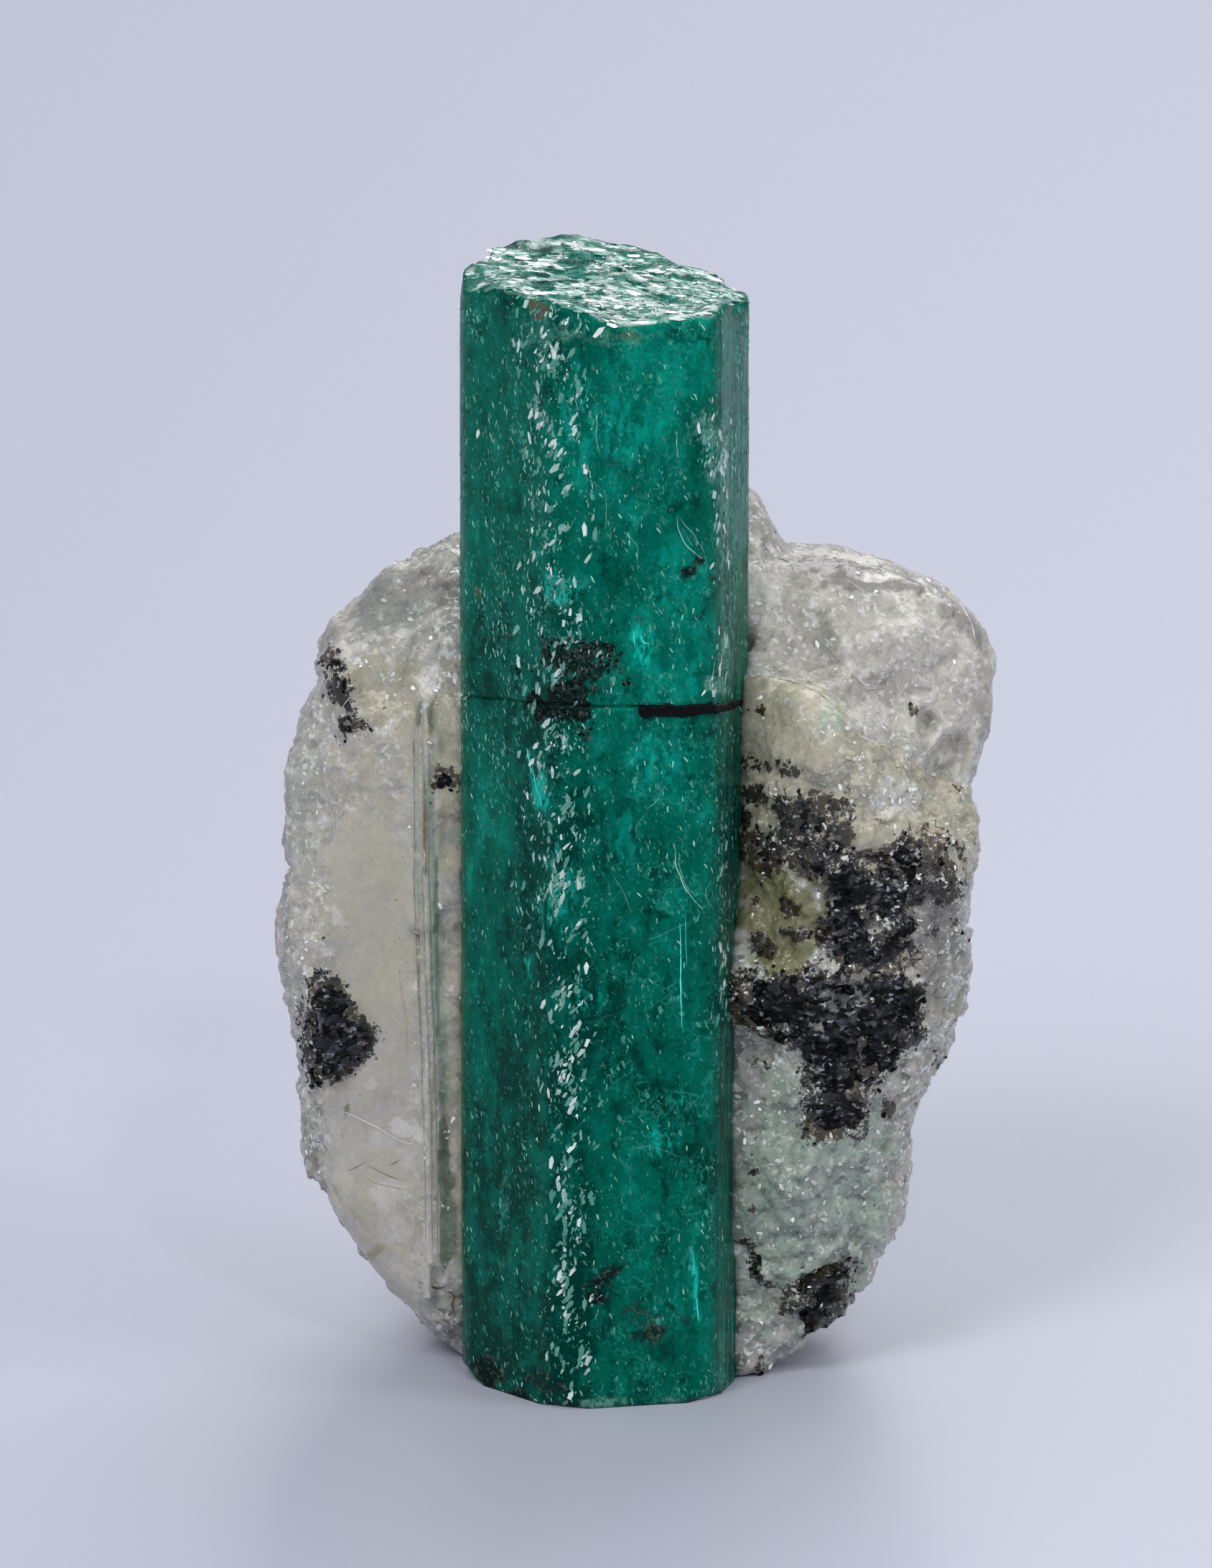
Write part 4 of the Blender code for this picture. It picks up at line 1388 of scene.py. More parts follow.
    # Painted highlights: bright turquoise lines that stand for flashes of light inside the crystal.
    streaks: Traces = traces(
        (0.08, 0.8, (3.42, 20.9), (3.46, 18.4), (3.5, 16.0)),
        (0.05, 0.3, (3.66, 21.4), (3.72, 18.9)), (0.06, 0.5, (4.05, 5.6), (4.12, 4.4)),
        (0.06, 0.6, (4.2, 3.4), (4.28, 2.3)),
        (0.09, 1.0, (-3.66, 29.0), (-3.52, 28.4), (-3.44, 27.8)),
        (0.07, 0.8, (-3.38, 28.1), (-3.24, 27.3), (-3.12, 26.8)),
        (0.06, 0.7, (-3.05, 26.9), (-2.96, 26.3)), (0.06, 0.7, (1.25, 34.4), (1.35, 33.6)),
        (0.09, 1.0, (1.6, 34.1), (1.75, 33.6), (1.92, 33.8)),
        (0.07, 0.7, (-4.95, 8.1), (-4.9, 7.5)),
    )

    def measure(self) -> None:
        """Read the solid's outline and heights."""
        self.shell = shell_from(merged_form(self.solid))
        self.bearings = np.arange(self.around) * (2.0 * math.pi / self.around)
        self.outline = self._reaches(self.plain_level)

    def _reaches(self, height: float) -> Array:
        """How far the solid reaches from its axis at a height, for each bearing.

        Args:
            height: The height in millimetres.

        Returns:
            One distance for each bearing.
        """
        start = Vector((0.0, 0.0, height * MM))
        reaches = []
        for bearing in self.bearings:
            out = Vector((math.sin(bearing), -math.cos(bearing), 0.0))
            hit = self.shell.ray_cast(start, out)[0]
            reaches.append((hit - start).length / MM if hit else 0.0)
        return np.array(reaches)

    def clearance(self, points: Array) -> Array:
        """How far points lie outside the crystal's upright faces.

        Args:
            points: Places in millimetres, one row each.

        Returns:
            One distance for each point, negative inside.
        """
        bearing = np.arctan2(points[:, 0], -points[:, 1])
        reach = np.interp(bearing, self.bearings, self.outline, period=2.0 * math.pi)
        return np.hypot(points[:, 0], points[:, 1]) - reach

    def _top_height(self, x: float, y: float) -> float:
        """Height of the solid's broken top.

        Args:
            x: Millimetres to the right of the axis.
            y: Millimetres behind it.

        Returns:
            The height in millimetres.
        """
        start = Vector((x * MM, y * MM, 2.0 * self.top_nominal * MM))
        hit = self.shell.ray_cast(start, Vector((0.0, 0.0, -1.0)))[0]
        return hit.z / MM if hit else self.top_nominal

    def _crack_at(self, places: Array) -> Array:
        """Height of the crack at places given by x and y.

        Args:
            places: Places in millimetres, one row each.

        Returns:
            One height for each place.
        """
        rise_x, rise_y = self.crack_rise
        wander = ripple(places, 1.7, 9.0) * 0.1 + ripple(places, 0.5, 3.0) * 0.03
        return self.crack_height + rise_x * places[:, 0] + rise_y * places[:, 1] + wander

    def _row_heights(self) -> Array:
        """Heights of the rows before they bend to the crack and the top.

        Returns:
            The heights, from the foot up.
        """
        regular = np.arange(0.0, self.top_nominal, self.row_step)
        regular = regular[abs(regular - self.crack_height) > 2.0 * self.row_step]
        fine = self.crack_height + np.array([-0.32, -0.2, -0.12, -0.06, 0.0, 0.06, 0.12, 0.2, 0.32])
        return np.sort(np.concatenate([regular, fine, [self.top_nominal]]))

    def _side_rows(self, rims: Array) -> list[Array]:
        """Points of each row of the upright faces, from the foot to the rim.

        Args:
            rims: Height of the rim at each bearing.

        Returns:
            The points of each row.
        """
        out = np.stack([np.sin(self.bearings), -np.cos(self.bearings)], axis=1)
        flat = np.column_stack([out * self.outline[:, None], np.zeros(self.around)])
        crack = self._crack_at(flat)
        rows = []
        for height in self._row_heights():
            near_crack = math.exp(-(((height - self.crack_height) / self.crack_reach) ** 2))
            heights = height + near_crack * (crack - self.crack_height)
            rise = float(ease(self.top_blend, self.top_nominal, np.array(height)))
            heights = heights + rise * (rims - self.top_nominal)
            reach = self._reaches(height) if height < self.chipped_height else self.outline
            places = np.column_stack([out * reach[:, None], heights])
            striped = places * np.array([1.0, 1.0, 0.05])
            reach = reach + 0.02 * ripple(striped, 0.5) + 0.035 * ripple(places, 2.6)
            gap = (height - self.crack_height) / self.crack_half_width
            width = 0.6 + 0.5 * ripple(flat, 1.3, 5.0)
            reach = reach - self.crack_depth * width * math.exp(-gap * gap)
            to_rim = np.clip((rims - heights) / self.rim_height, 0.0, 1.0)
            chips = self.rim_chip * np.clip(0.55 + 1.2 * ripple(places, 0.9, 2.0), 0.12, 1.3)
            reach = reach - chips * (1.0 - to_rim) ** 2
            rows.append(np.column_stack([out * reach[:, None], heights]))
        return rows

    def _cap_rows(self, rim: Array) -> list[Array]:
        """Points of the rings of the broken top, from the rim inwards to the middle.

        Args:
            rim: Points of the rim.

        Returns:
            The points of each ring.
        """
        rows = []
        for ring in range(1, self.cap_rings):
            share = 1.0 - ring / self.cap_rings
            places = np.column_stack([rim[:, :2] * share, np.zeros(self.around)])
            heights = np.array([self._top_height(x, y) for x, y in places[:, :2]])
            long, short = self.ledge_size
            stretched = places / np.array([long, short, 1.0])
            relief = 0.24 * ripple(stretched, 1.0, 4.0) + 0.1 * ripple(stretched, 0.37, 8.0)
            ledges = np.round(relief / self.ledge_step) * self.ledge_step
            scales = 0.05 * facets(places * np.array([0.6, 1.5, 1.0]), 0.6)
            fade = min(1.0, 3.0 * (1.0 - share) + 0.25)
            heights = heights + fade * (0.75 * ledges + 0.25 * relief + scales)
            rows.append(np.column_stack([places[:, :2], heights]))
        return rows

    def body(self, material: Material) -> Object:
        """Build the crystal's own mesh.

        Args:
            material: Its finish.

        Returns:
            The crystal.
        """
        out = np.stack([np.sin(self.bearings), -np.cos(self.bearings)], axis=1)
        near_rim = out * (self.outline[:, None] - 0.05)
        rims = np.array([self._top_height(x, y) for x, y in near_rim])
        rims = rims + 0.1 * ripple(np.column_stack([near_rim, np.zeros(self.around)]), 0.7, 6.0)
        rims = rims - self.corner_drop * ease(5.4, 6.4, near_rim[:, 0])
        sides = self._side_rows(rims)
        caps = self._cap_rows(sides[-1])
        rows = sides + caps
        middle = np.array([[0.0, 0.0, self._top_height(0.0, 0.0)]])
        points = np.concatenate([*rows, middle, np.zeros((1, 3))])
        faces = []
        for row in range(len(rows) - 1):
            low, high = row * self.around, (row + 1) * self.around
            for column in range(self.around):
                after = (column + 1) % self.around
                faces.append((low + column, low + after, high + after, high + column))
        last, top, foot = (len(rows) - 1) * self.around, len(points) - 2, len(points) - 1
        for column in range(self.around):
            after = (column + 1) % self.around
            faces.append((last + column, last + after, top))
            faces.append((foot, after, column))
        crystal = mesh_object("emerald_prism", points, faces)
        self._paint(crystal, points, len(sides) * self.around)
        dress(crystal, material)
        return crystal

    def _paint(self, crystal: Object, points: Array, side_count: int) -> None:
        """Paint the crystal's zones and where its flakes lie.

        Args:
            crystal: The crystal's mesh.
            points: Its corners.
            side_count: How many of them are on the upright faces.
        """
        x, y, level = points[:, 0], points[:, 1], seen_level(points)
        front = 1.0 - ease(-1.0, 2.5, y)
        on_side = np.zeros(len(points))
        on_side[:side_count] = 1.0
        ragged = 0.55 * ripple(points, 0.7, 1.0) + 0.35 * ripple(points, 0.28, 5.0)
        flakes, dirt, frost, rust = (
            spot_values(points, places, ragged) * front
            for places in (self.flake_spots, self.dirt_spots, self.frost_spots, self.rust_spots)
        )
        # Painted glow of inner flashes, on the upright faces only.
        painted_flash = spot_values(points, self.painted_flash_spots, 0.6 * ragged) * front * on_side
        milky = ease(-0.8, 1.6, x + 0.8 * ripple(points, 1.6, 9.0)) * front
        band_middle = -2.5 + 0.9 * (45.0 - level) / 40.0
        half_width = 1.25 - 0.45 * (45.0 - level) / 45.0
        band = np.exp(-(((x - band_middle) / half_width) ** 2)) * front * on_side
        patchy = ease(-0.25, 0.45, ripple(points * np.array([1.0, 1.0, 0.5]), 1.5, 2.0))
        bare = ease(1.5, 3.5, y) * (1.0 - ease(40.0, 43.0, points[:, 2]))
        shown = on_side * (1.0 - 0.9 * bare) * (1.0 - 0.8 * ease(0.3, 0.8, dirt))
        high = 0.35 + 0.65 * ease(16.0, 36.0, level)
        hidden = 0.42 * milky * (1.0 - ease(4.6, 5.4, x))
        clusters = ease(-0.1, 0.3, ripple(points, 0.9, 6.0))
        band = np.maximum(band * (0.14 + 0.86 * clusters), flakes * on_side)
        clot_x, clot_level = self.clot_middle
        by_clot = np.hypot((x - clot_x) / 2.8, (level - clot_level) / 3.0)
        clot = ease(0.25, 0.7, dirt) * (1.0 - ease(1.0, 1.15, by_clot))
        painted = {
            "dirt": dirt,
            "frost": frost,
            "painted_flash": painted_flash,
            "rust": rust,
            "milky": milky,
            "strip": ease(0.8, 0.95, read_normals(crystal)[:, 0]) * on_side,
            "broken": 1.0 - on_side,
            "fine_flecks": shown * (0.12 + 0.88 * patchy) * (1.0 - hidden) * high,
            "band_flecks": band * (1.0 - 0.9 * ease(0.9, 1.4, dirt)),
            "scales": self._scale_and_sheen_cover(points) * (1.0 - on_side),
            "clot_grains": clot,
            "clot_sparks": clot * ease(31.6, 32.4, level),
        }
        for name, values in painted.items():
            paint(crystal, name, values)

    def _scale_and_sheen_cover(self, points: Array) -> Array:
        """How thickly silvery scales, with their painted sheen, cover the broken top.

        Args:
            points: Places in millimetres, one row each.

        Returns:
            One share for each point.
        """
        x, y = points[:, 0], points[:, 1]
        reach = np.hypot(x, y)
        bearing = np.arctan2(x, -y)
        rim = np.interp(bearing, self.bearings, self.outline, period=2.0 * math.pi)
        inside = ease(0.05, 0.4, rim - reach)
        spread = ripple(points * np.array([0.55, 1.3, 0.0]), 1.0, 3.0)
        lean = 0.3 * ease(-2.0, 5.0, x - 0.8 * y) - 0.08
        cover = ease(-0.12, 0.14, spread + 0.35 * ripple(points, 0.5, 8.0) + lean)
        return inside * (0.05 + 0.95 * cover)

    def build(self) -> Object:
        """Build, dress and keep the crystal and its flakes.

        Returns:
            The crystal's own mesh.
        """
        self.measure()
        crystal = self.body(EmeraldFinish().material())
        keep(crystal, "emerald", "emerald_crystal")
        # Fleck and plate chips: real flakes whose pale light ends are partly painted glint.
        pearl_and_highlight = ChipFinish("emerald_fleck_and_glint", (0.003, 0.16, 0.11), (0.36, 0.7, 0.58), 0.25)
        shell = ChipFinish("emerald_plate_and_glint", (0.06, 0.28, 0.21), (0.76, 0.86, 0.82), 0.28)
        # The scales' pale light end is painted reflection, their silvery sheen.
        silver_sheen = ChipFinish("emerald_scale_and_sheen", (0.06, 0.24, 0.18), (0.95, 0.97, 0.96), 0.26, 0.2)
        fine = Strewing(
            "emerald_fine_flecks", ChipShape.SPLINTER, "fine_flecks", 30.0, 0.06, 0.48, 0.19, 0.1,
            lean=30.0, tilt=7.0, stand=0.0, seed=11, warp=0.035, along=(-0.25, 0.0, 1.0),
        )
        band = Strewing(
            "emerald_band_flecks", ChipShape.PLATE, "band_flecks", 34.0, 0.07, 0.8, 0.33, 0.06,
            lean=30.0, tilt=9.0, stand=0.006, seed=23, warp=0.12, along=(0.42, 0.0, 1.0),
        )
        scales = Strewing(
            "emerald_top_scales", ChipShape.PLATE, "scales", 46.0, 0.12, 1.05, 0.3, 0.035,
            lean=14.0, tilt=4.0, stand=0.004, seed=5, warp=0.05, along=(1.0, 0.0, 0.0),
        )
        for strewing, finish in ((fine, pearl_and_highlight), (band, shell), (scales, silver_sheen)):
            keep(strewing.strew(crystal, finish.material()), "emerald")
        veil = ChipFinish("emerald_veil", (0.01, 0.26, 0.19), (0.5, 0.8, 0.7), 0.3)
        # Painted highlight finish for the flash lines, bright turquoise.
        flash_streak = ChipFinish("emerald_flash_streak", (0.01, 0.55, 0.45), (0.1, 1.0, 0.92), 0.18)
        veils = TraceSet("emerald_veils", self.veils, height=0.3, wobble=0.09)
        veils.build(crystal, veil, "emerald")
        streaks = TraceSet("emerald_flash_streaks", self.streaks, height=0.3, wobble=0.03)
        streaks.build(crystal, flash_streak, "emerald")
        return crystal


# ---- Quartz matrix ----


@dataclass
class QuartzMatrix:
    """The milky quartz round the crystal: plate, lobe, lump and sugary broken areas.

    Lengths are in millimetres.
    """

    solid: Object
    masses: list[Object]
    crystal: EmeraldCrystal
    voxel: float = 0.25
    crown: Line = (
        (-13.5, 34.2), (-12.8, 35.2), (-11.5, 36.3), (-10.3, 37.6), (-9.4, 38.0), (-8.1, 38.6),
        (-7.0, 39.2), (-6.0, 39.3), (6.3, 41.6), (7.1, 41.0), (7.8, 39.8), (8.3, 38.8), (8.7, 38.6),
        (11.2, 38.5), (11.7, 38.2), (13.1, 37.9), (14.6, 37.3), (16.0, 36.7), (17.1, 35.8),
        (18.2, 33.9),
    )
    crown_band: float = 4.0
    column: float = 0.5
    pocket_cover: float = 0.4
    pocket_sink: float = 0.55
    seat_gap: float = 0.42
    plate_left: Span = (-13.6, -12.6)
    plate_right: Span = (-9.2, -8.6)
    plate_foot: Span = (1.0, 3.0)
    plate_top: Span = (24.5, 29.0)
    seam_left: Span = (-9.4, -8.9)
    seam_right: Span = (-5.5, -4.5)
    seam_foot: Span = (2.4, 3.8)
    seam_top: Span = (30.0, 31.5)
    rim_right: Span = (-13.2, -12.2)
    rim_foot: Span = (15.0, 18.0)
    rim_top: Span = (31.0, 33.0)
    upper_right: Span = (-9.0, -8.4)
    upper_foot: Span = (24.0, 26.0)
    upper_top: Span = (30.0, 32.0)
    crest_right: Span = (-8.5, -7.0)
    crest_foot: Span = (29.5, 32.0)
    lump_middle: Span = (8.6, 31.6)
    lump_rim: Span = (2.6, 3.4)
    lump_edge: Line = (
        (6.2, 32.1), (7.4, 32.3), (10.0, 31.6), (10.9, 30.5), (12.0, 29.3), (13.4, 29.0),
        (14.8, 27.9), (16.5, 27.2),
    )

    beige_spots: Spots = spots(
        (-7.2, 27.0, 0.9, 6.0, 0.8), (-7.2, 14.0, 0.8, 12.0, 0.55), (-10.3, 31.8, 2.4, 2.4, 0.85),
        (-11.0, 20.0, 3.4, 12.0, 0.58), (-8.9, 29.5, 1.2, 3.0, 0.6), (8.6, 30.4, 2.6, 2.2, 0.95),
        (11.5, 27.6, 2.8, 1.8, 0.75, 60.0), (-10.5, 7.5, 2.6, 3.6, 0.55),
        (14.5, 17.5, 1.0, 2.6, 0.6), (-8.4, 22.0, 0.6, 8.0, 0.5),
    )
    green_spots: Spots = spots(
        (9.5, 8.0, 4.5, 9.0, 0.7), (7.2, 9.5, 0.9, 3.0, 0.85), (10.2, 30.3, 0.7, 1.4, 0.48, 10.0),
        (8.9, 33.3, 1.6, 0.4, 0.3, 10.0), (-7.95, 20.0, 0.34, 10.0, 0.9, -2.5),
        (-8.75, 24.0, 0.22, 7.0, 0.5), (-14.0, 26.5, 1.3, 6.0, 0.36), (-14.2, 18.5, 0.8, 2.0, 0.3),
        (-13.4, 36.5, 1.6, 2.5, 0.35), (-9.8, 36.2, 3.2, 2.2, 0.4, -25.0),
        (-7.3, 24.9, 0.5, 0.5, 0.6), (7.5, 24.9, 0.7, 0.8, 0.7), (7.0, 17.5, 0.4, 2.0, 0.6),
    )
    reed_spots: Spots = spots(
        (-7.86, 19.5, 0.16, 5.5, 1.0, -1.0), (-7.6, 9.6, 0.24, 2.8, 1.6, -2.0),
        (-7.52, 6.4, 0.26, 2.2, 1.2, 2.0), (-12.05, 12.1, 0.16, 0.5, 0.9),
        (-12.25, 11.1, 0.14, 0.5, 0.6, 15.0), (-8.6, 31.0, 0.13, 2.0, 0.55, 4.0),
        (-7.95, 33.3, 0.22, 0.9, 0.48, 30.0), (-12.8, 8.6, 0.16, 1.4, 0.42, -30.0),
        (-11.5, 6.9, 0.15, 1.4, 0.42, -42.0),
    )
    # Pearly white patches; some are painted highlights, as on the bump at (-9.3, 11.2) and the
    # lobe's top at (12.6, 37.5), and painted light in the hollow at (15.6, 29.6).
    pearl_and_highlight_spots: Spots = spots(
        (-9.3, 11.2, 0.9, 0.5, 1.1, 25.0), (-10.1, 7.9, 1.1, 0.9, 0.55),
        (-9.8, 6.6, 1.0, 0.8, 0.55), (-11.0, 13.4, 0.5, 0.4, 0.7), (15.6, 29.6, 0.8, 1.3, 0.45),
        (-13.0, 25.6, 0.5, 0.4, 0.9), (-12.6, 21.2, 0.3, 0.9, 0.8, -15.0),
        (-12.9, 19.6, 0.5, 0.4, 0.9), (12.2, 30.6, 1.3, 0.9, 0.75, -35.0),
        (13.4, 26.7, 1.4, 1.0, 0.8, 35.0), (11.2, 33.4, 0.4, 1.2, 0.5, -20.0),
        (7.6, 36.4, 0.9, 1.0, 0.6), (12.6, 37.5, 1.2, 0.3, 0.8), (-8.2, 32.2, 0.5, 1.1, 0.9, 20.0),
        (-11.6, 33.9, 0.8, 0.4, 0.7),
    )
    # Smoky grey patches, partly painted shade: the darkened top rim of the lobe from (11.8, 38.0)
    # and the shade beside the crystal at (6.9, 12.5) and (6.7, 6.5).
    smoke_and_shade_spots: Spots = spots(
        (11.8, 38.0, 4.8, 1.3, 1.1, 14.0), (16.6, 35.4, 2.0, 0.9, 0.8, 50.0),
        (9.2, 32.4, 2.0, 0.8, 0.45, 15.0), (17.6, 31.5, 0.5, 3.6, 0.45),
        (7.3, 40.5, 0.7, 1.6, 0.45, -15.0), (14.0, 33.4, 1.6, 1.0, 0.15, 30.0),
        (-9.4, 36.6, 3.4, 2.0, 0.85, -25.0), (-12.6, 34.9, 1.2, 0.6, 0.5, -45.0),
        (-10.9, 20.4, 1.0, 1.2, 0.25), (14.8, 20.8, 1.6, 3.0, 0.95), (15.2, 17.6, 0.9, 1.6, 0.55),
        (10.6, 21.6, 0.7, 1.6, 0.6), (6.9, 12.5, 0.8, 4.5, 0.55), (6.7, 6.5, 0.6, 2.5, 0.4),
        (-7.2, 1.6, 0.6, 1.2, 0.6), (-14.9, 21.0, 0.4, 4.0, 0.5),
    )
    glitter_spots: Spots = spots(
        (-9.1, 32.4, 1.5, 1.0, 1.6), (-8.1, 31.9, 0.4, 0.9, 2.0, 20.0),
        (-11.4, 33.4, 0.5, 0.4, 1.4), (-12.8, 35.6, 0.4, 0.25, 1.6), (-7.5, 38.3, 0.7, 0.25, 1.6),
        (-14.2, 26.0, 0.5, 0.5, 1.4), (-13.4, 22.2, 0.3, 0.9, 1.2),
        (12.4, 30.3, 1.3, 0.6, 1.8, 20.0), (13.4, 26.9, 1.1, 1.0, 1.8),
        (12.0, 37.9, 1.2, 0.3, 1.2, 15.0), (7.4, 25.9, 0.8, 0.5, 1.3),
    )
    moss_spots: Spots = spots(
        (8.4, 21.0, 2.9, 2.7, 0.85), (7.6, 25.6, 1.4, 1.0, 0.55), (10.4, 24.9, 1.6, 0.9, 0.5),
        (-13.4, 9.6, 0.5, 0.8, 0.5), (-8.36, 25.0, 0.14, 2.8, 0.55),
        (-10.9, 5.3, 0.7, 0.35, 0.55, -40.0), (8.1, 21.9, 2.0, 1.5, 1.2),
        (8.2, 19.4, 1.9, 1.1, 1.1), (7.2, 23.4, 0.7, 0.9, 0.7), (8.0, 31.0, 1.6, 1.6, 0.25),
        (9.3, 25.4, 1.6, 0.8, 0.5), (7.4, 28.6, 0.9, 1.8, 0.35),
    )
    rust_spots: Spots = spots(
        (-8.42, 25.3, 0.16, 3.2, 0.62), (-8.1, 30.0, 0.2, 1.6, 0.45), (-7.0, 3.4, 0.7, 0.25, 0.8),
        (-6.6, 1.6, 0.3, 1.0, 0.7), (6.6, 31.1, 0.25, 1.2, 0.6), (-8.4, 7.9, 0.6, 0.3, 0.35),
        (-10.0, 9.3, 1.6, 0.4, 0.3, 70.0), (-12.4, 3.6, 1.2, 0.4, 0.3, -35.0),
        (-10.9, 35.9, 1.3, 0.3, 0.4, 70.0), (-13.0, 31.6, 0.6, 1.0, 0.35),
        (-11.3, 30.0, 1.4, 0.8, 0.35), (15.1, 24.8, 0.4, 0.25, 0.6), (13.0, 29.2, 0.5, 0.4, 0.35),
        (12.4, 28.3, 0.3, 0.8, 0.35),
    )
    mica_spots: Spots = spots(
        (14.3, 30.7, 0.5, 0.22, 0.85, 8.0), (16.3, 27.1, 0.35, 0.25, 0.6),
        (8.6, 28.1, 0.9, 0.4, 0.62, 20.0), (7.1, 28.3, 0.9, 0.4, 0.6, 15.0),
        (7.2, 26.9, 0.7, 0.7, 1.0), (6.7, 25.9, 0.3, 0.7, 0.8), (9.8, 26.4, 1.4, 0.8, 0.75, 25.0),
        (10.9, 25.3, 0.8, 0.4, 0.8), (6.7, 24.1, 0.35, 0.4, 0.6),
        (8.5, 21.6, 0.55, 0.45, 0.95, 60.0), (7.0, 21.9, 0.3, 0.3, 0.6),
        (8.9, 20.4, 0.9, 0.35, 0.85), (7.4, 19.7, 0.8, 0.6, 1.0), (7.0, 20.3, 0.7, 0.25, 0.8),
        (8.3, 18.5, 0.5, 0.2, 0.7), (10.2, 19.9, 0.7, 0.4, 0.7), (15.8, 23.5, 0.5, 0.2, 0.7),
        (14.4, 22.2, 1.0, 0.9, 0.62), (14.0, 19.6, 0.6, 1.3, 0.6), (15.7, 22.2, 0.7, 0.6, 0.85),
        (15.2, 20.5, 0.4, 0.3, 0.7), (10.5, 20.0, 0.6, 1.4, 0.62), (15.4, 14.4, 0.2, 0.5, 0.6),
        (13.2, 12.2, 0.35, 0.6, 0.9), (7.0, 4.9, 0.9, 0.3, 0.85, 80.0), (7.7, 4.0, 0.3, 0.35, 0.8),
        (6.6, 5.9, 0.4, 0.3, 0.8), (6.9, 9.2, 0.3, 0.3, 0.7), (6.8, 7.5, 0.2, 0.3, 0.6),
        (7.2, 14.4, 0.6, 0.4, 0.45), (6.9, -1.0, 0.4, 0.5, 0.75), (7.2, 0.2, 0.4, 0.5, 0.6),
        (7.3, 30.7, 0.4, 0.3, 0.8), (-11.6, 30.3, 0.9, 0.25, 0.8, 20.0),
        (-13.2, 33.6, 0.7, 0.3, 0.85, -35.0), (-10.2, 30.5, 0.5, 0.15, 0.5, 80.0),
    )
    # Fine raised lines; the pale ones are partly painted highlights.
    ridges_and_highlights: Traces = traces(
        (0.09, 0.2, (-8.85, 31.5), (-8.92, 25.0), (-8.9, 21.7), (-8.6, 15.0), (-8.42, 8.4),
         (-8.45, 4.6)),
        (0.13, 0.32, (-8.45, 31.2), (-8.5, 25.0), (-8.54, 21.7), (-8.25, 15.0), (-8.15, 8.4),
         (-8.1, 5.0)),
        (0.1, 0.0, (-8.22, 30.0), (-8.24, 21.7), (-7.95, 14.0), (-7.88, 8.4), (-7.85, 4.2)),
        (0.06, 0.2, (-8.7, 23.0), (-8.72, 19.0), (-8.5, 14.0)),
        (0.08, 0.6, (-13.6, 28.6), (-12.6, 26.9), (-11.2, 26.3), (-9.9, 25.4), (-9.2, 24.2)),
        (0.1, 0.45, (-12.6, 30.2), (-12.0, 31.3), (-11.2, 31.8)),
        (0.12, 0.85, (-12.4, 12.1), (-10.8, 11.4), (-9.6, 10.6), (-8.9, 10.5)),
        (0.09, 0.15, (6.5, 32.2), (7.5, 32.4), (9.9, 31.6), (10.8, 30.6)),
        (0.1, 0.9, (10.8, 30.5), (11.6, 29.6), (12.4, 29.2), (13.5, 29.0)),
        (0.08, 0.7, (-10.4, 8.3), (-9.2, 7.6), (-8.9, 6.4), (-9.2, 5.4)),
        (0.1, 0.45, (9.6, 34.3), (10.7, 33.3), (11.6, 32.2), (12.3, 31.6), (13.2, 31.9)),
        (0.08, 0.55, (7.0, 38.0), (8.2, 37.9), (8.9, 37.3), (8.5, 36.2), (7.8, 35.1), (7.1, 35.2)),
        (0.1, 0.9, (7.2, 38.2), (7.6, 37.1), (7.4, 36.0)),
        # Painted highlight along the lobe's top.
        (0.16, 0.95, (11.6, 37.5), (12.6, 37.4), (13.6, 37.0)),
        (0.06, 0.45, (8.9, 37.7), (11.2, 37.9), (12.8, 37.1), (14.6, 36.3)),
        (0.07, 0.8, (11.4, 38.6), (12.6, 38.0), (13.2, 36.8)),
        (0.06, 0.7, (10.8, 37.0), (11.9, 36.4), (12.3, 35.4)),
        (0.1, 0.8, (15.9, 36.6), (16.9, 35.2), (17.3, 33.6)),
        (0.1, 0.8, (14.9, 31.0), (16.0, 30.0), (16.3, 28.6)),
    )
    hairlines: Traces = traces(
        (0.05, 0.1, (-12.5, 9.2), (-11.9, 9.3), (-11.2, 9.7)),
        (0.05, 0.1, (-11.1, 9.5), (-10.4, 9.1), (-9.5, 8.8)),
        (0.06, 0.1, (-10.1, 9.5), (-9.6, 9.8)),
        (0.13, 0.1, (-8.75, 4.05), (-8.3, 3.8), (-7.7, 3.65), (-7.4, 3.95)),
        (0.13, 0.1, (-7.6, 3.7), (-7.1, 3.45), (-6.95, 3.3), (-7.4, 3.0), (-7.1, 2.7)),
        (0.13, 0.2, (-7.1, 2.7), (-7.5, 2.3), (-7.3, 2.0)),
        (0.05, 0.9, (-11.4, 9.1), (-10.9, 8.7), (-10.0, 8.5), (-8.9, 8.3)),
        (0.04, 0.9, (-9.6, 18.4), (-9.2, 15.8), (-9.4, 14.6)),
        (0.08, 0.3, (-8.95, 29.4), (-8.85, 27.8)),
        (0.05, 0.7, (7.2, 33.0), (7.6, 34.2), (8.0, 34.6)),
    )
    break_rings: tuple[tuple[float, ...], ...] = (
        (-14.3, 20.9, 0.5, 0.8, 1.1), (-13.2, 25.4, 0.7, 0.95),
    )
    break_squash: float = 0.62

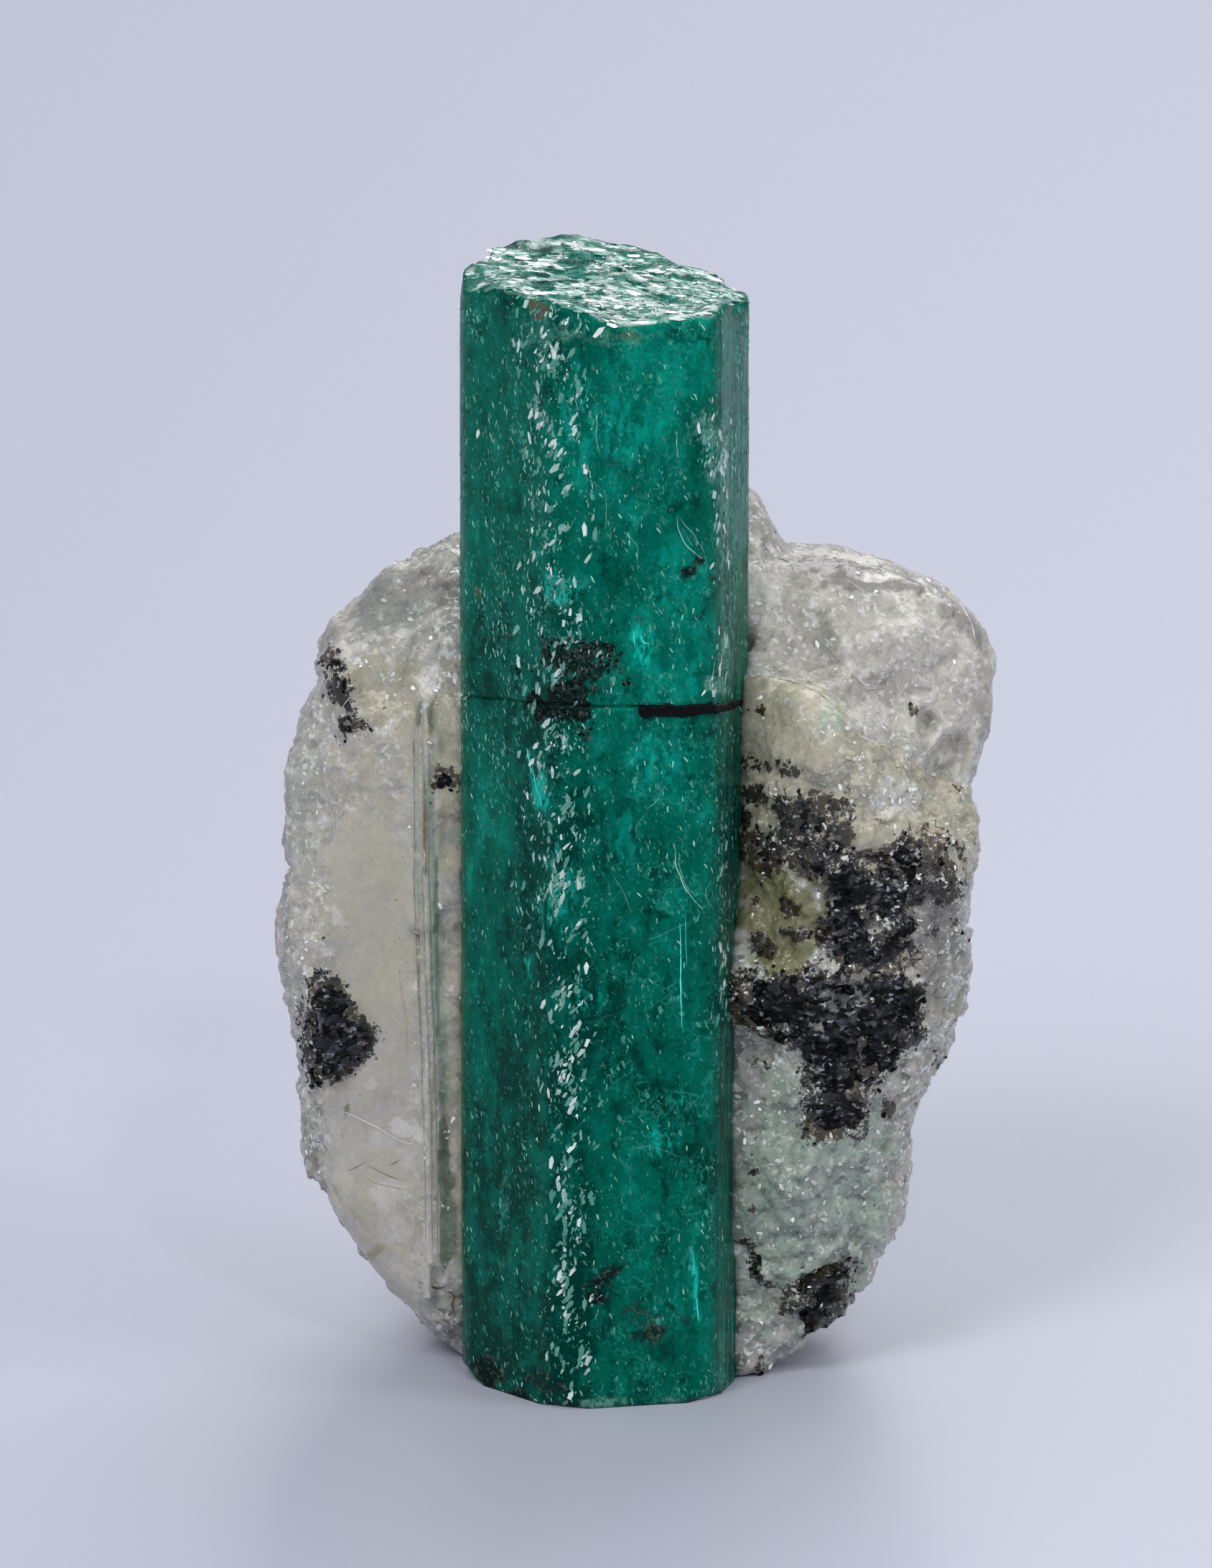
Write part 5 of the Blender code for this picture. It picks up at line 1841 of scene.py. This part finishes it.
    def body(self, material: Material) -> Object:
        """Build the matrix's own mesh.

        Args:
            material: Its finish.

        Returns:
            The matrix.
        """
        form = merged_form(self.solid)
        for mass in self.masses:
            cover = merged_form(mass)
            for vertex in cover.verts:
                vertex.co += vertex.normal * self.pocket_cover * MM
                vertex.co.y += self.pocket_sink * MM
            filling = bpy.data.meshes.new("pocket_filling")
            cover.to_mesh(filling)
            cover.free()
            form.from_mesh(filling)
        matrix = remeshed("quartz_body", form, self.voxel, 2)
        points, normals = read_points(matrix), read_normals(matrix)
        zones = self._zones(points, normals)
        clear = self.crystal.clearance(points)
        free = ease(0.35, 0.85, clear)
        points = points + normals * (self._relief(points, zones) * free)[:, None]
        self._lower_crown(points)
        self._seat(points)
        points[:, 2] = np.maximum(points[:, 2], 0.0)
        write_points(matrix, points)
        for name, values in zones.items():
            paint(matrix, name, values)
        dress(matrix, material)
        return matrix

    def _zones(self, points: Array, normals: Array) -> dict[str, Array]:
        """Shares of each finish over the matrix.

        Args:
            points: The matrix's corners.
            normals: Their normals.

        Returns:
            One painted value for each corner, by name.
        """
        x, y, level = points[:, 0], points[:, 1], seen_level(points)
        sight = normals[:, 2] * math.sin(SIGHT_FALL) - normals[:, 1] * math.cos(SIGHT_FALL)
        front = ease(-0.15, 0.25, sight) * (1.0 - ease(4.0, 7.0, y))
        wander = 0.5 * ripple(points, 2.2, 3.0)
        plate = ease(*self.plate_left, x + wander) * (1.0 - ease(*self.plate_right, x))
        plate = plate * ease(*self.plate_foot, level)
        plate = plate * (1.0 - ease(*self.plate_top, level + wander))
        seam = ease(*self.seam_left, x) * (1.0 - ease(*self.seam_right, x))
        seam = seam * (1.0 - ease(*self.seam_top, level))
        seam = seam * ease(*self.seam_foot, level + 0.5 * wander)
        left_rim = (1.0 - ease(*self.rim_right, x)) * ease(*self.rim_foot, level)
        left_rim = left_rim * (1.0 - ease(*self.rim_top, level))
        lobe = ease(8.0, 12.0, x + wander) * ease(28.5, 31.0, level + 0.45 * (x - 12.0) + wander)
        lobe = np.maximum(lobe, ease(4.0, 7.0, x) * ease(33.5, 35.5, level))
        lump_x, lump_level = self.lump_middle
        lump_reach = np.hypot(x - lump_x, 0.8 * (level - lump_level)) + wander
        lump = 1.0 - ease(*self.lump_rim, lump_reach)
        back = 1.0 - ease(-0.15, 0.25, sight)
        crest = (1.0 - ease(*self.crest_right, x)) * ease(*self.crest_foot, level + wander)
        upper = ease(*self.plate_left, x + wander) * (1.0 - ease(*self.upper_right, x))
        upper = upper * ease(*self.upper_foot, level)
        upper = upper * (1.0 - ease(*self.upper_top, level + wander))
        smooth = np.maximum.reduce(
            [plate, 0.6 * seam, 0.6 * lump, 0.65 * crest, 0.62 * upper, 0.55 * left_rim]
        ) * front
        glassy = np.clip(np.maximum(smooth, 0.75 * lobe) + 0.25 * back, 0.0, 1.0)
        ragged = 0.45 * ripple(points, 1.1, 6.0) + 0.35 * ripple(points, 0.4, 2.0)
        under = np.interp(x, *np.array(self.lump_edge).T) - level + 0.25 * ragged
        under = ease(-0.12, 0.12, under) * ease(6.0, 6.3, x) * ease(22.0, 24.0, level)
        mica, moss, beige, pearl_and_highlight, rust, smoke_and_shade, glitter = (
            spot_values(points, places, ragged) * front
            for places in (
                self.mica_spots, self.moss_spots, self.beige_spots, self.pearl_and_highlight_spots,
                self.rust_spots, self.smoke_and_shade_spots, self.glitter_spots,
            )
        )
        sparkle = (1.0 - glassy) * (0.15 + 0.85 * ease(-0.15, 0.35, ripple(points, 1.3, 11.0)))
        sparkle = np.maximum(sparkle * (1.0 - 0.6 * back), glitter)
        return {
            "plate": np.maximum(plate, 0.75 * seam) * front,
            "glassy": glassy,
            "beige": np.maximum(beige, 0.88 * under * front),
            "under": under * front,
            "reed": spot_values(points, self.reed_spots, 0.5 * ragged) * front,
            "pearl_and_highlight": pearl_and_highlight,
            "green": spot_values(points, self.green_spots, 0.6 * ragged) * front,
            "moss": moss,
            "rust": rust,
            "mica": np.maximum(mica, self._mica_fringe(points)),
            "smoke_and_shade": smoke_and_shade,
            "sugar": sparkle * (1.0 - ease(0.15, 0.4, mica)) * (1.0 - 0.8 * ease(0.2, 0.6, moss)),
        }

    def _mica_fringe(self, points: Array) -> Array:
        """Dark fringe round each mica mass.

        Args:
            points: The matrix's corners.

        Returns:
            One share for each corner.
        """
        fringe = np.zeros(len(points))
        wander = 0.45 * ripple(points, 0.9, 2.0)
        for mass in self.masses:
            shell = shell_from(merged_form(mass))
            bare = spot_values(points, MASS_PLACES[mass.name].get("bare", ()), wander)
            for index in np.nonzero(self._near(points, mass, 1.5))[0]:
                found = shell.find_nearest(Vector(points[index] * MM))[3]
                away = found / MM + wander[index]
                dark = (0.8 - 0.8 * float(ease(0.0, 0.9, np.array(away)))) * (1.0 - bare[index])
                fringe[index] = max(fringe[index], dark)
        return fringe

    @staticmethod
    def _near(points: Array, mass: Object, reach: float) -> Array:
        """Which points lie within reach of a mass's box.

        Args:
            points: Places in millimetres, one row each.
            mass: The mass.
            reach: The reach in millimetres.

        Returns:
            True or false for each point.
        """
        corners = read_points(mass)
        low, high = corners.min(axis=0) - reach, corners.max(axis=0) + reach
        return np.all((points > low) & (points < high), axis=1)

    def _relief(self, points: Array, zones: dict[str, Array]) -> Array:
        """How far each corner stands in or out.

        Args:
            points: The matrix's corners.
            zones: Their painted values.

        Returns:
            One height for each corner.
        """
        rough = 1.0 - np.maximum(zones["plate"], 0.8 * zones["glassy"])
        coarse = 0.26 * facets(points, 1.5) + 0.14 * facets(points + 40.0, 0.75)
        knobs = 0.11 * ripple(points, 0.55, 12.0)
        fine = 0.07 * facets(points + 20.0, 0.36)
        step = 0.22 * zones["under"]
        return rough * (coarse + knobs + fine) + step + 0.03 * ripple(points, 1.6, 5.0)

    def _lower_crown(self, points: Array) -> None:
        """Ease the upper outline down to where it is seen from the front.

        Args:
            points: The matrix's corners, moved here.
        """
        x, level = points[:, 0], seen_level(points)
        columns = np.floor(x / self.column).astype(int)
        first = columns.min()
        tops = np.full(columns.max() - first + 1, -np.inf)
        np.maximum.at(tops, columns - first, level)
        middles = (np.arange(len(tops)) + first + 0.5) * self.column
        limits = np.interp(x, *np.array(self.crown).T)
        over = np.maximum(np.interp(x, middles, tops) - limits, 0.0)
        share = np.maximum(level - limits + self.crown_band, 0.0) / (self.crown_band + over)
        points[:, 2] -= share * over

    def _seat(self, points: Array) -> None:
        """Close the gap round the crystal, so that the quartz touches it.

        Args:
            points: The matrix's corners, moved here.
        """
        clear = self.crystal.clearance(points)
        pull = self.seat_gap * (1.0 - ease(0.32, 0.95, clear))
        pull[points[:, 2] > self.crystal.top_nominal] = 0.0
        reach = np.hypot(points[:, 0], points[:, 1])
        points[:, :2] *= ((reach - pull) / reach)[:, None]

    def build(self) -> Object:
        """Build, dress and keep the matrix and its glittering grains.

        Returns:
            The matrix's own mesh.
        """
        matrix = self.body(QuartzFinish().material())
        keep(matrix, "milky_quartz", self.solid.name)
        glint = ChipFinish("quartz_glint", (0.46, 0.47, 0.42), (0.95, 0.96, 0.94), 0.2)
        grains = Strewing(
            "quartz_grains", ChipShape.PLATE, "sugar", 12.0, 0.06, 0.42, 0.5, 0.12,
            lean=180.0, tilt=18.0, stand=0.0, seed=31, warp=0.09,
        )
        keep(grains.strew(matrix, glint.material()), "milky_quartz")
        pale = ChipFinish("quartz_ridge_and_highlight", (0.22, 0.24, 0.18), (0.7, 0.68, 0.6), 0.24)
        ridges_and_highlights = TraceSet("quartz_ridges_and_highlights", self.ridges_and_highlights + self._breaks(), wobble=0.035)
        ridges_and_highlights.build(matrix, pale, "milky_quartz")
        stain = ChipFinish("quartz_hairline", (0.1, 0.075, 0.035), (0.34, 0.28, 0.17), 0.55)
        hairlines = TraceSet("quartz_hairlines", self.hairlines, height=0.25)
        hairlines.build(matrix, stain, "milky_quartz")
        return matrix

    def _breaks(self) -> Traces:
        """Curved breaks on the left rim, ring inside ring.

        Returns:
            The lines.
        """
        turns = [math.radians(turn) for turn in range(15, 181, 33)]
        made = []
        for x, level, *reaches in self.break_rings:
            for reach in reaches:
                wide = self.break_squash * reach
                bends = tuple(
                    (x + wide * math.sin(turn), level + reach * math.cos(turn)) for turn in turns
                )
                made.append(Trace(bends, 0.11, 0.55))
        return tuple(made)


# ---- Biotite mica ----


@dataclass
class BiotiteMass:
    """One mass of black mica, in blocky books, that thins out raggedly into the quartz.

    Lengths are in millimetres.
    """

    solid: Object
    bare: Spots = ()
    blackest: Spots = ()
    brown: Spots = ()
    voxel: float = 0.17
    ragged: float = 0.22
    book: float = 0.75
    book_height: float = 0.2
    grain_height: float = 0.09
    sink: float = 0.95
    rim_width: float = 1.1
    grid: float = 0.12

    def _rim_distance(self, points: Array) -> Array:
        """How far inside the mass's seen outline points lie.

        Args:
            points: Places in millimetres, one row each.

        Returns:
            One distance for each point.
        """
        shell = shell_from(merged_form(self.solid))
        corners = read_points(self.solid)
        low = np.array([corners[:, 0].min(), seen_level(corners).min()]) - self.grid
        high = np.array([corners[:, 0].max(), seen_level(corners).max()]) + self.grid
        across, up = (np.arange(a, b, self.grid) for a, b in zip(low, high))
        outside = [(x, level) for x in across for level in up if not sighted(shell, x, level)]
        seen = np.column_stack([points[:, 0], seen_level(points)])
        gaps = np.array([np.hypot(*(np.array(outside) - place).T).min() for place in seen])
        return gaps

    def build(self, material: Material) -> Object:
        """Build, dress and keep the mass.

        Args:
            material: Its finish.

        Returns:
            The mass.
        """
        form = merged_form(self.solid)
        mass = remeshed(f"{self.solid.name}_books", form, self.voxel, 1)
        points, normals = read_points(mass), read_normals(mass)
        gaps = self._rim_distance(points)
        outward = normals * np.array([1.0, 0.35, 1.0])
        points = points + outward * (self.ragged * (0.3 + ripple(points, 0.9, 4.0)))[:, None]
        books = np.round(2.5 * facets(points, self.book)) / 2.5
        rise = self.book_height * books + self.grain_height * ripple(points, 0.35, 8.0)
        rise = rise + 0.6 * self.grain_height * facets(points + 20.0, 0.35)
        points = points + normals * rise[:, None]
        torn = 0.75 * ripple(points, 1.0, 15.0) + 0.65 * ripple(points, 0.38, 2.0)
        sunk = ease(0.0, 0.22, torn + 0.3 - 1.1 * gaps / self.rim_width)
        sunk = np.maximum(sunk, spot_values(points, self.bare, 0.5 * torn))
        back = np.array([0.0, math.cos(SIGHT_FALL), -math.sin(SIGHT_FALL)])
        points = points + self.sink * sunk[:, None] * back
        write_points(mass, points)
        solid = spot_values(points, self.blackest, 0.6 * torn)
        rim = 0.8 - 0.8 * ease(0.0, 0.6, gaps + 0.4 * torn)
        rim = np.maximum(rim, spot_values(points, self.brown, torn))
        paint(mass, "rim", rim * (1.0 - 0.8 * solid))
        paint(mass, "solid", solid)
        paint(mass, "glints", (1.0 - sunk) * ease(-0.3, 0.3, ripple(points, 1.2, 3.0)))
        dress(mass, material)
        keep(mass, "biotite", self.solid.name)
        return mass


# Where quartz shows through a mass, where a mass is plain black, and where it is brown.
MASS_PLACES: dict[str, dict[str, Spots]] = {
    "biotite_main_mass": {
        "bare": spots(
            (8.2, 21.9, 2.3, 1.5), (8.0, 19.5, 2.2, 1.1), (6.5, 22.4, 0.8, 1.0),
            (10.6, 27.4, 4.4, 0.9, 1.0, 14.0), (7.4, 25.7, 0.9, 0.6), (12.2, 25.2, 1.2, 1.0),
            (6.9, 27.6, 1.6, 1.3), (15.4, 21.6, 1.6, 1.0, 0.9), (15.5, 19.4, 1.9, 1.7),
            (15.9, 17.2, 1.3, 2.5), (14.8, 13.8, 1.5, 1.6), (12.4, 20.7, 0.4, 0.3, 0.8),
            (8.2, 14.6, 1.2, 0.5), (10.4, 18.9, 0.4, 0.4, 0.8), (15.9, 25.6, 0.8, 1.0),
            (12.6, 11.4, 0.5, 0.9),
        ),
        "blackest": spots(
            (7.6, 16.9, 2.3, 1.5, 1.0, 75.0), (12.6, 15.9, 1.9, 1.5), (7.6, 24.2, 1.4, 1.0),
            (11.4, 13.0, 1.5, 1.6, 0.7), (13.6, 23.6, 1.6, 0.9, 0.7), (11.0, 22.8, 1.4, 1.2, 0.5),
        ),
        "brown": spots(
            (9.4, 26.3, 1.9, 0.9), (10.8, 24.9, 1.4, 0.6, 0.8), (7.4, 27.7, 1.2, 0.7),
            (13.4, 25.2, 1.4, 0.6, 0.8), (15.6, 14.6, 0.6, 1.2, 0.9), (10.8, 11.2, 2.0, 0.5, 0.8),
            (9.6, 20.3, 1.4, 0.5, 0.7),
        ),
    },
    "biotite_upper_left": {
        "bare": spots(
            (-11.5, 33.2, 0.8, 1.6, 1.0, -20.0), (-11.0, 31.2, 0.8, 1.2),
            (-13.4, 30.9, 0.8, 1.9, 1.0, -20.0), (-11.0, 29.0, 1.5, 0.8, 1.0, 10.0),
            (-12.5, 30.7, 0.5, 0.25),
        ),
        "brown": spots((-12.2, 30.0, 0.8, 0.6), (-11.9, 33.2, 0.5, 1.0)),
        "blackest": spots((-12.8, 32.0, 0.8, 1.6, 0.9, -25.0)),
    },
    "biotite_lower_left": {
        "bare": spots((-11.0, 17.6, 0.9, 0.9), (-10.8, 13.8, 0.9, 0.8)),
        "brown": spots((-13.6, 14.2, 0.8, 0.6, 0.7)),
        "blackest": spots((-12.4, 17.2, 1.0, 0.9, 0.8), (-13.5, 14.8, 0.6, 0.9, 0.7)),
    },
    "biotite_ridge_speck": {
        "bare": spots(
            (-8.4, 28.3, 0.5, 0.7, 1.0, 25.0), (-6.9, 28.3, 0.6, 0.9, 1.0, -30.0),
            (-7.4, 26.4, 1.3, 0.75),
        ),
        "blackest": spots((-7.5, 27.4, 1.0, 1.0)),
    },
    "biotite_lower_right": {
        "bare": spots((8.6, 4.9, 0.6, 0.6), (8.6, 1.9, 0.6, 0.7)),
        "brown": spots((10.4, 5.0, 1.0, 0.7), (8.2, 3.4, 0.8, 0.5)),
    },
}


@dataclass
class SeamBar:
    """The flat black bar of mica in the crystal's crack, lifted by its rise to the right.

    Its profile gives shares of the length and, there, of the solid's own thickness.
    """

    solid: Object
    voxel: float = 0.08
    rise: float = 0.34
    profile: Line = (
        (0.0, 0.25), (0.03, 0.7), (0.1, 0.95), (0.17, 0.8), (0.27, 1.08), (0.5, 1.0), (0.68, 0.7),
        (0.85, 0.52), (1.0, 0.3),
    )

    def build(self, material: Material) -> None:
        """Build, dress and keep the bar.

        Args:
            material: Its finish.
        """
        bar = remeshed(f"{self.solid.name}_bar", merged_form(self.solid), self.voxel, 6)
        points, normals = read_points(bar), read_normals(bar)
        low, high = points[:, 0].min(), points[:, 0].max()
        share = (points[:, 0] - low) / (high - low)
        flat = np.column_stack([points[:, :2], np.ones(len(points))])
        level = flat @ np.linalg.lstsq(flat, points[:, 2], rcond=None)[0]
        thickness = np.interp(share, *np.array(self.profile).T) + 0.22 * ripple(points, 0.55, 2.0)
        rough = 0.06 * facets(points, 0.4) + 0.04 * ripple(points, 0.2, 5.0)
        move = normals * rough[:, None]
        move[:, 2] += (thickness - 1.0) * (points[:, 2] - level) + self.rise * (share - 0.6)
        write_points(bar, points + move)
        dress(bar, material)
        keep(bar, "biotite", self.solid.name)


@dataclass
class MicaCrumbs:
    """Books and grains of mica round the masses and in the crystal's clot, and their glints."""

    matrix: Object
    crystal: Object
    masses: list[Object]

    def build(self) -> None:
        """Strew, dress and keep the crumbs."""
        dark = BiotiteFinish("biotite_crumbs", brown_share=0.1).material()
        black = ChipFinish(
            "biotite_clot", (0.002, 0.004, 0.003), (0.05, 0.068, 0.062), 0.45, gloss=0.04
        )
        bright = ChipFinish("biotite_glint", (0.1, 0.105, 0.11), (0.66, 0.67, 0.67), 0.2, 0.25)
        fringe = Strewing(
            "biotite_fringe", ChipShape.GRAIN, "mica", 7.0, 0.08, 0.4, 0.7, 0.5,
            lean=180.0, tilt=50.0, stand=0.0, seed=41, warp=0.1,
        )
        keep(fringe.strew(self.matrix, dark), "biotite")
        clot = Strewing(
            "biotite_clot_grains", ChipShape.SPLINTER, "clot_grains", 75.0, 0.08, 0.34, 0.55, 0.3,
            lean=180.0, tilt=20.0, stand=-0.01, seed=43, warp=0.05,
        )
        keep(clot.strew(self.crystal, black.material()), "biotite", "biotite_crystal_clot")
        sparks = Strewing(
            "biotite_clot_sparks", ChipShape.SPLINTER, "clot_sparks", 11.0, 0.1, 0.42, 0.38, 0.15,
            lean=30.0, tilt=12.0, stand=0.04, seed=44, warp=0.04,
        )
        shine = bright.material()
        keep(sparks.strew(self.crystal, shine), "biotite")
        for index, mass in enumerate(self.masses):
            name = mass.name.replace("_books", "_glints")
            glints = Strewing(
                name, ChipShape.SPLINTER, "glints", 1.8, 0.08, 0.36, 0.4, 0.16,
                lean=180.0, tilt=25.0, stand=0.01, seed=50 + index, warp=0.12,
            )
            keep(glints.strew(mass, shine), "biotite")


# ---- Studio ----


@dataclass(frozen=True)
class SoftLight:
    """A square area light aimed at the specimen; lengths in metres."""

    name: str
    place: tuple[float, float, float]
    size: float
    power: float
    colour: Colour = (1.0, 1.0, 1.0)

    def build(self, target: Vector) -> None:
        """Hang the light and aim it.

        Args:
            target: Where the light is aimed.
        """
        data = bpy.data.lights.new(self.name, "AREA")
        data.size = self.size
        data.energy = self.power
        data.color = self.colour
        light = bpy.data.objects.new(self.name, data)
        bpy.context.scene.collection.objects.link(light)
        light.location = self.place
        light.rotation_euler = (target - Vector(self.place)).to_track_quat("-Z", "Y").to_euler()


@dataclass
class Studio:
    """Pale floor that sweeps up into a wall all round, soft lights and the camera.

    Lengths are in metres.
    """

    inner_radius: float = 0.6
    floor_radius: float = 3.0
    sweep_radius: float = 1.5
    sweep_steps: int = 12
    wall_top: float = 4.0
    wall_sides: int = 96
    air_colour: Colour = (0.95, 0.96, 1.0)
    air_strength: float = 0.86
    seen_depth: Span = (0.01, 50.0)
    target: Vector = Vector((0.0, 0.0, 0.02843))
    distance: float = 0.75
    frame_height: float = 0.0728
    sensor: float = 36.0
    lights: tuple[SoftLight, ...] = (
        SoftLight("key", (-0.5, -0.85, 1.0), 0.45, 8.0),
        SoftLight("spark", (0.3, -0.95, 0.95), 0.1, 1.8),
        SoftLight("back", (0.35, 1.0, 0.9), 0.9, 8.0),
        SoftLight("right", (0.95, -0.35, 0.55), 0.4, 3.0),
    )

    def floor(self) -> None:
        """Build the floor and its sweep."""
        profile = [(0.0, 0.0), (self.inner_radius, 0.0), (self.floor_radius, 0.0)]
        for step in range(1, self.sweep_steps + 1):
            angle = math.radians(90.0 * step / self.sweep_steps)
            radius = self.floor_radius + self.sweep_radius * math.sin(angle)
            profile.append((radius, self.sweep_radius * (1.0 - math.cos(angle))))
        profile.append((profile[-1][0], self.wall_top))
        form = bmesh.new()
        line = [form.verts.new((radius, 0.0, height)) for radius, height in profile]
        edges = [form.edges.new(pair) for pair in zip(line, line[1:])]
        bmesh.ops.spin(
            form, geom=line + edges, axis=(0.0, 0.0, 1.0), cent=(0.0, 0.0, 0.0),
            angle=2.0 * math.pi, steps=self.wall_sides, use_duplicate=False,
        )
        bmesh.ops.remove_doubles(form, verts=form.verts, dist=0.0001)
        for face in form.faces:
            face.smooth = True
        mesh = bpy.data.meshes.new("studio_floor")
        form.to_mesh(mesh)
        form.free()
        ground = new_object("studio_floor", mesh)
        dress(ground, StudioFinish().material())

    def air(self) -> None:
        """Fill the studio with even pale light."""
        world = bpy.data.worlds.new("studio_air")
        world.use_nodes = True
        background = world.node_tree.nodes["Background"]
        background.inputs["Color"].default_value = (*self.air_colour, 1.0)
        background.inputs["Strength"].default_value = self.air_strength
        bpy.context.scene.world = world

    def camera(self) -> None:
        """Set up the camera in front of the specimen and a little above it."""
        data = bpy.data.cameras.new("front_camera")
        data.sensor_width = self.sensor
        data.lens = self.sensor * self.distance / self.frame_height
        data.clip_start, data.clip_end = self.seen_depth
        camera = bpy.data.objects.new("front_camera", data)
        bpy.context.scene.collection.objects.link(camera)
        back = Vector((0.0, -math.cos(SIGHT_FALL), math.sin(SIGHT_FALL)))
        camera.location = self.target + back * self.distance
        camera.rotation_euler = (-back).to_track_quat("-Z", "Y").to_euler()
        bpy.context.scene.camera = camera

    def build(self) -> None:
        """Build the floor, the lights and the camera."""
        self.floor()
        self.air()
        for light in self.lights:
            light.build(self.target)
        self.camera()
        bpy.context.scene.view_settings.view_transform = "Standard"


def main() -> None:
    """Dress the specimen and set up the studio."""
    logging.basicConfig(level=logging.INFO, format="%(name)s: %(message)s")
    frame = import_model()
    nodes = frame["nodes"]
    Studio().build()
    crystal = EmeraldCrystal(nodes["emerald_crystal"])
    prism = crystal.build()
    on_rock = [
        nodes[f"biotite_{name}"]
        for name in ("main_mass", "lower_right", "upper_left", "lower_left", "ridge_speck")
    ]
    matrix = QuartzMatrix(nodes["quartz_matrix"], on_rock, crystal)
    rock = matrix.build()
    books = BiotiteFinish(stone_share=0.03).material()
    masses = [BiotiteMass(solid, **MASS_PLACES[solid.name]).build(books) for solid in on_rock]
    seam = ChipFinish(
        "biotite_seam", (0.003, 0.003, 0.004), (0.022, 0.022, 0.025), 0.4, gloss=0.08
    )
    SeamBar(nodes["biotite_crack_seam"]).build(seam.material())
    MicaCrumbs(rock, prism, masses).build()


if __name__ == "__main__":
    main()
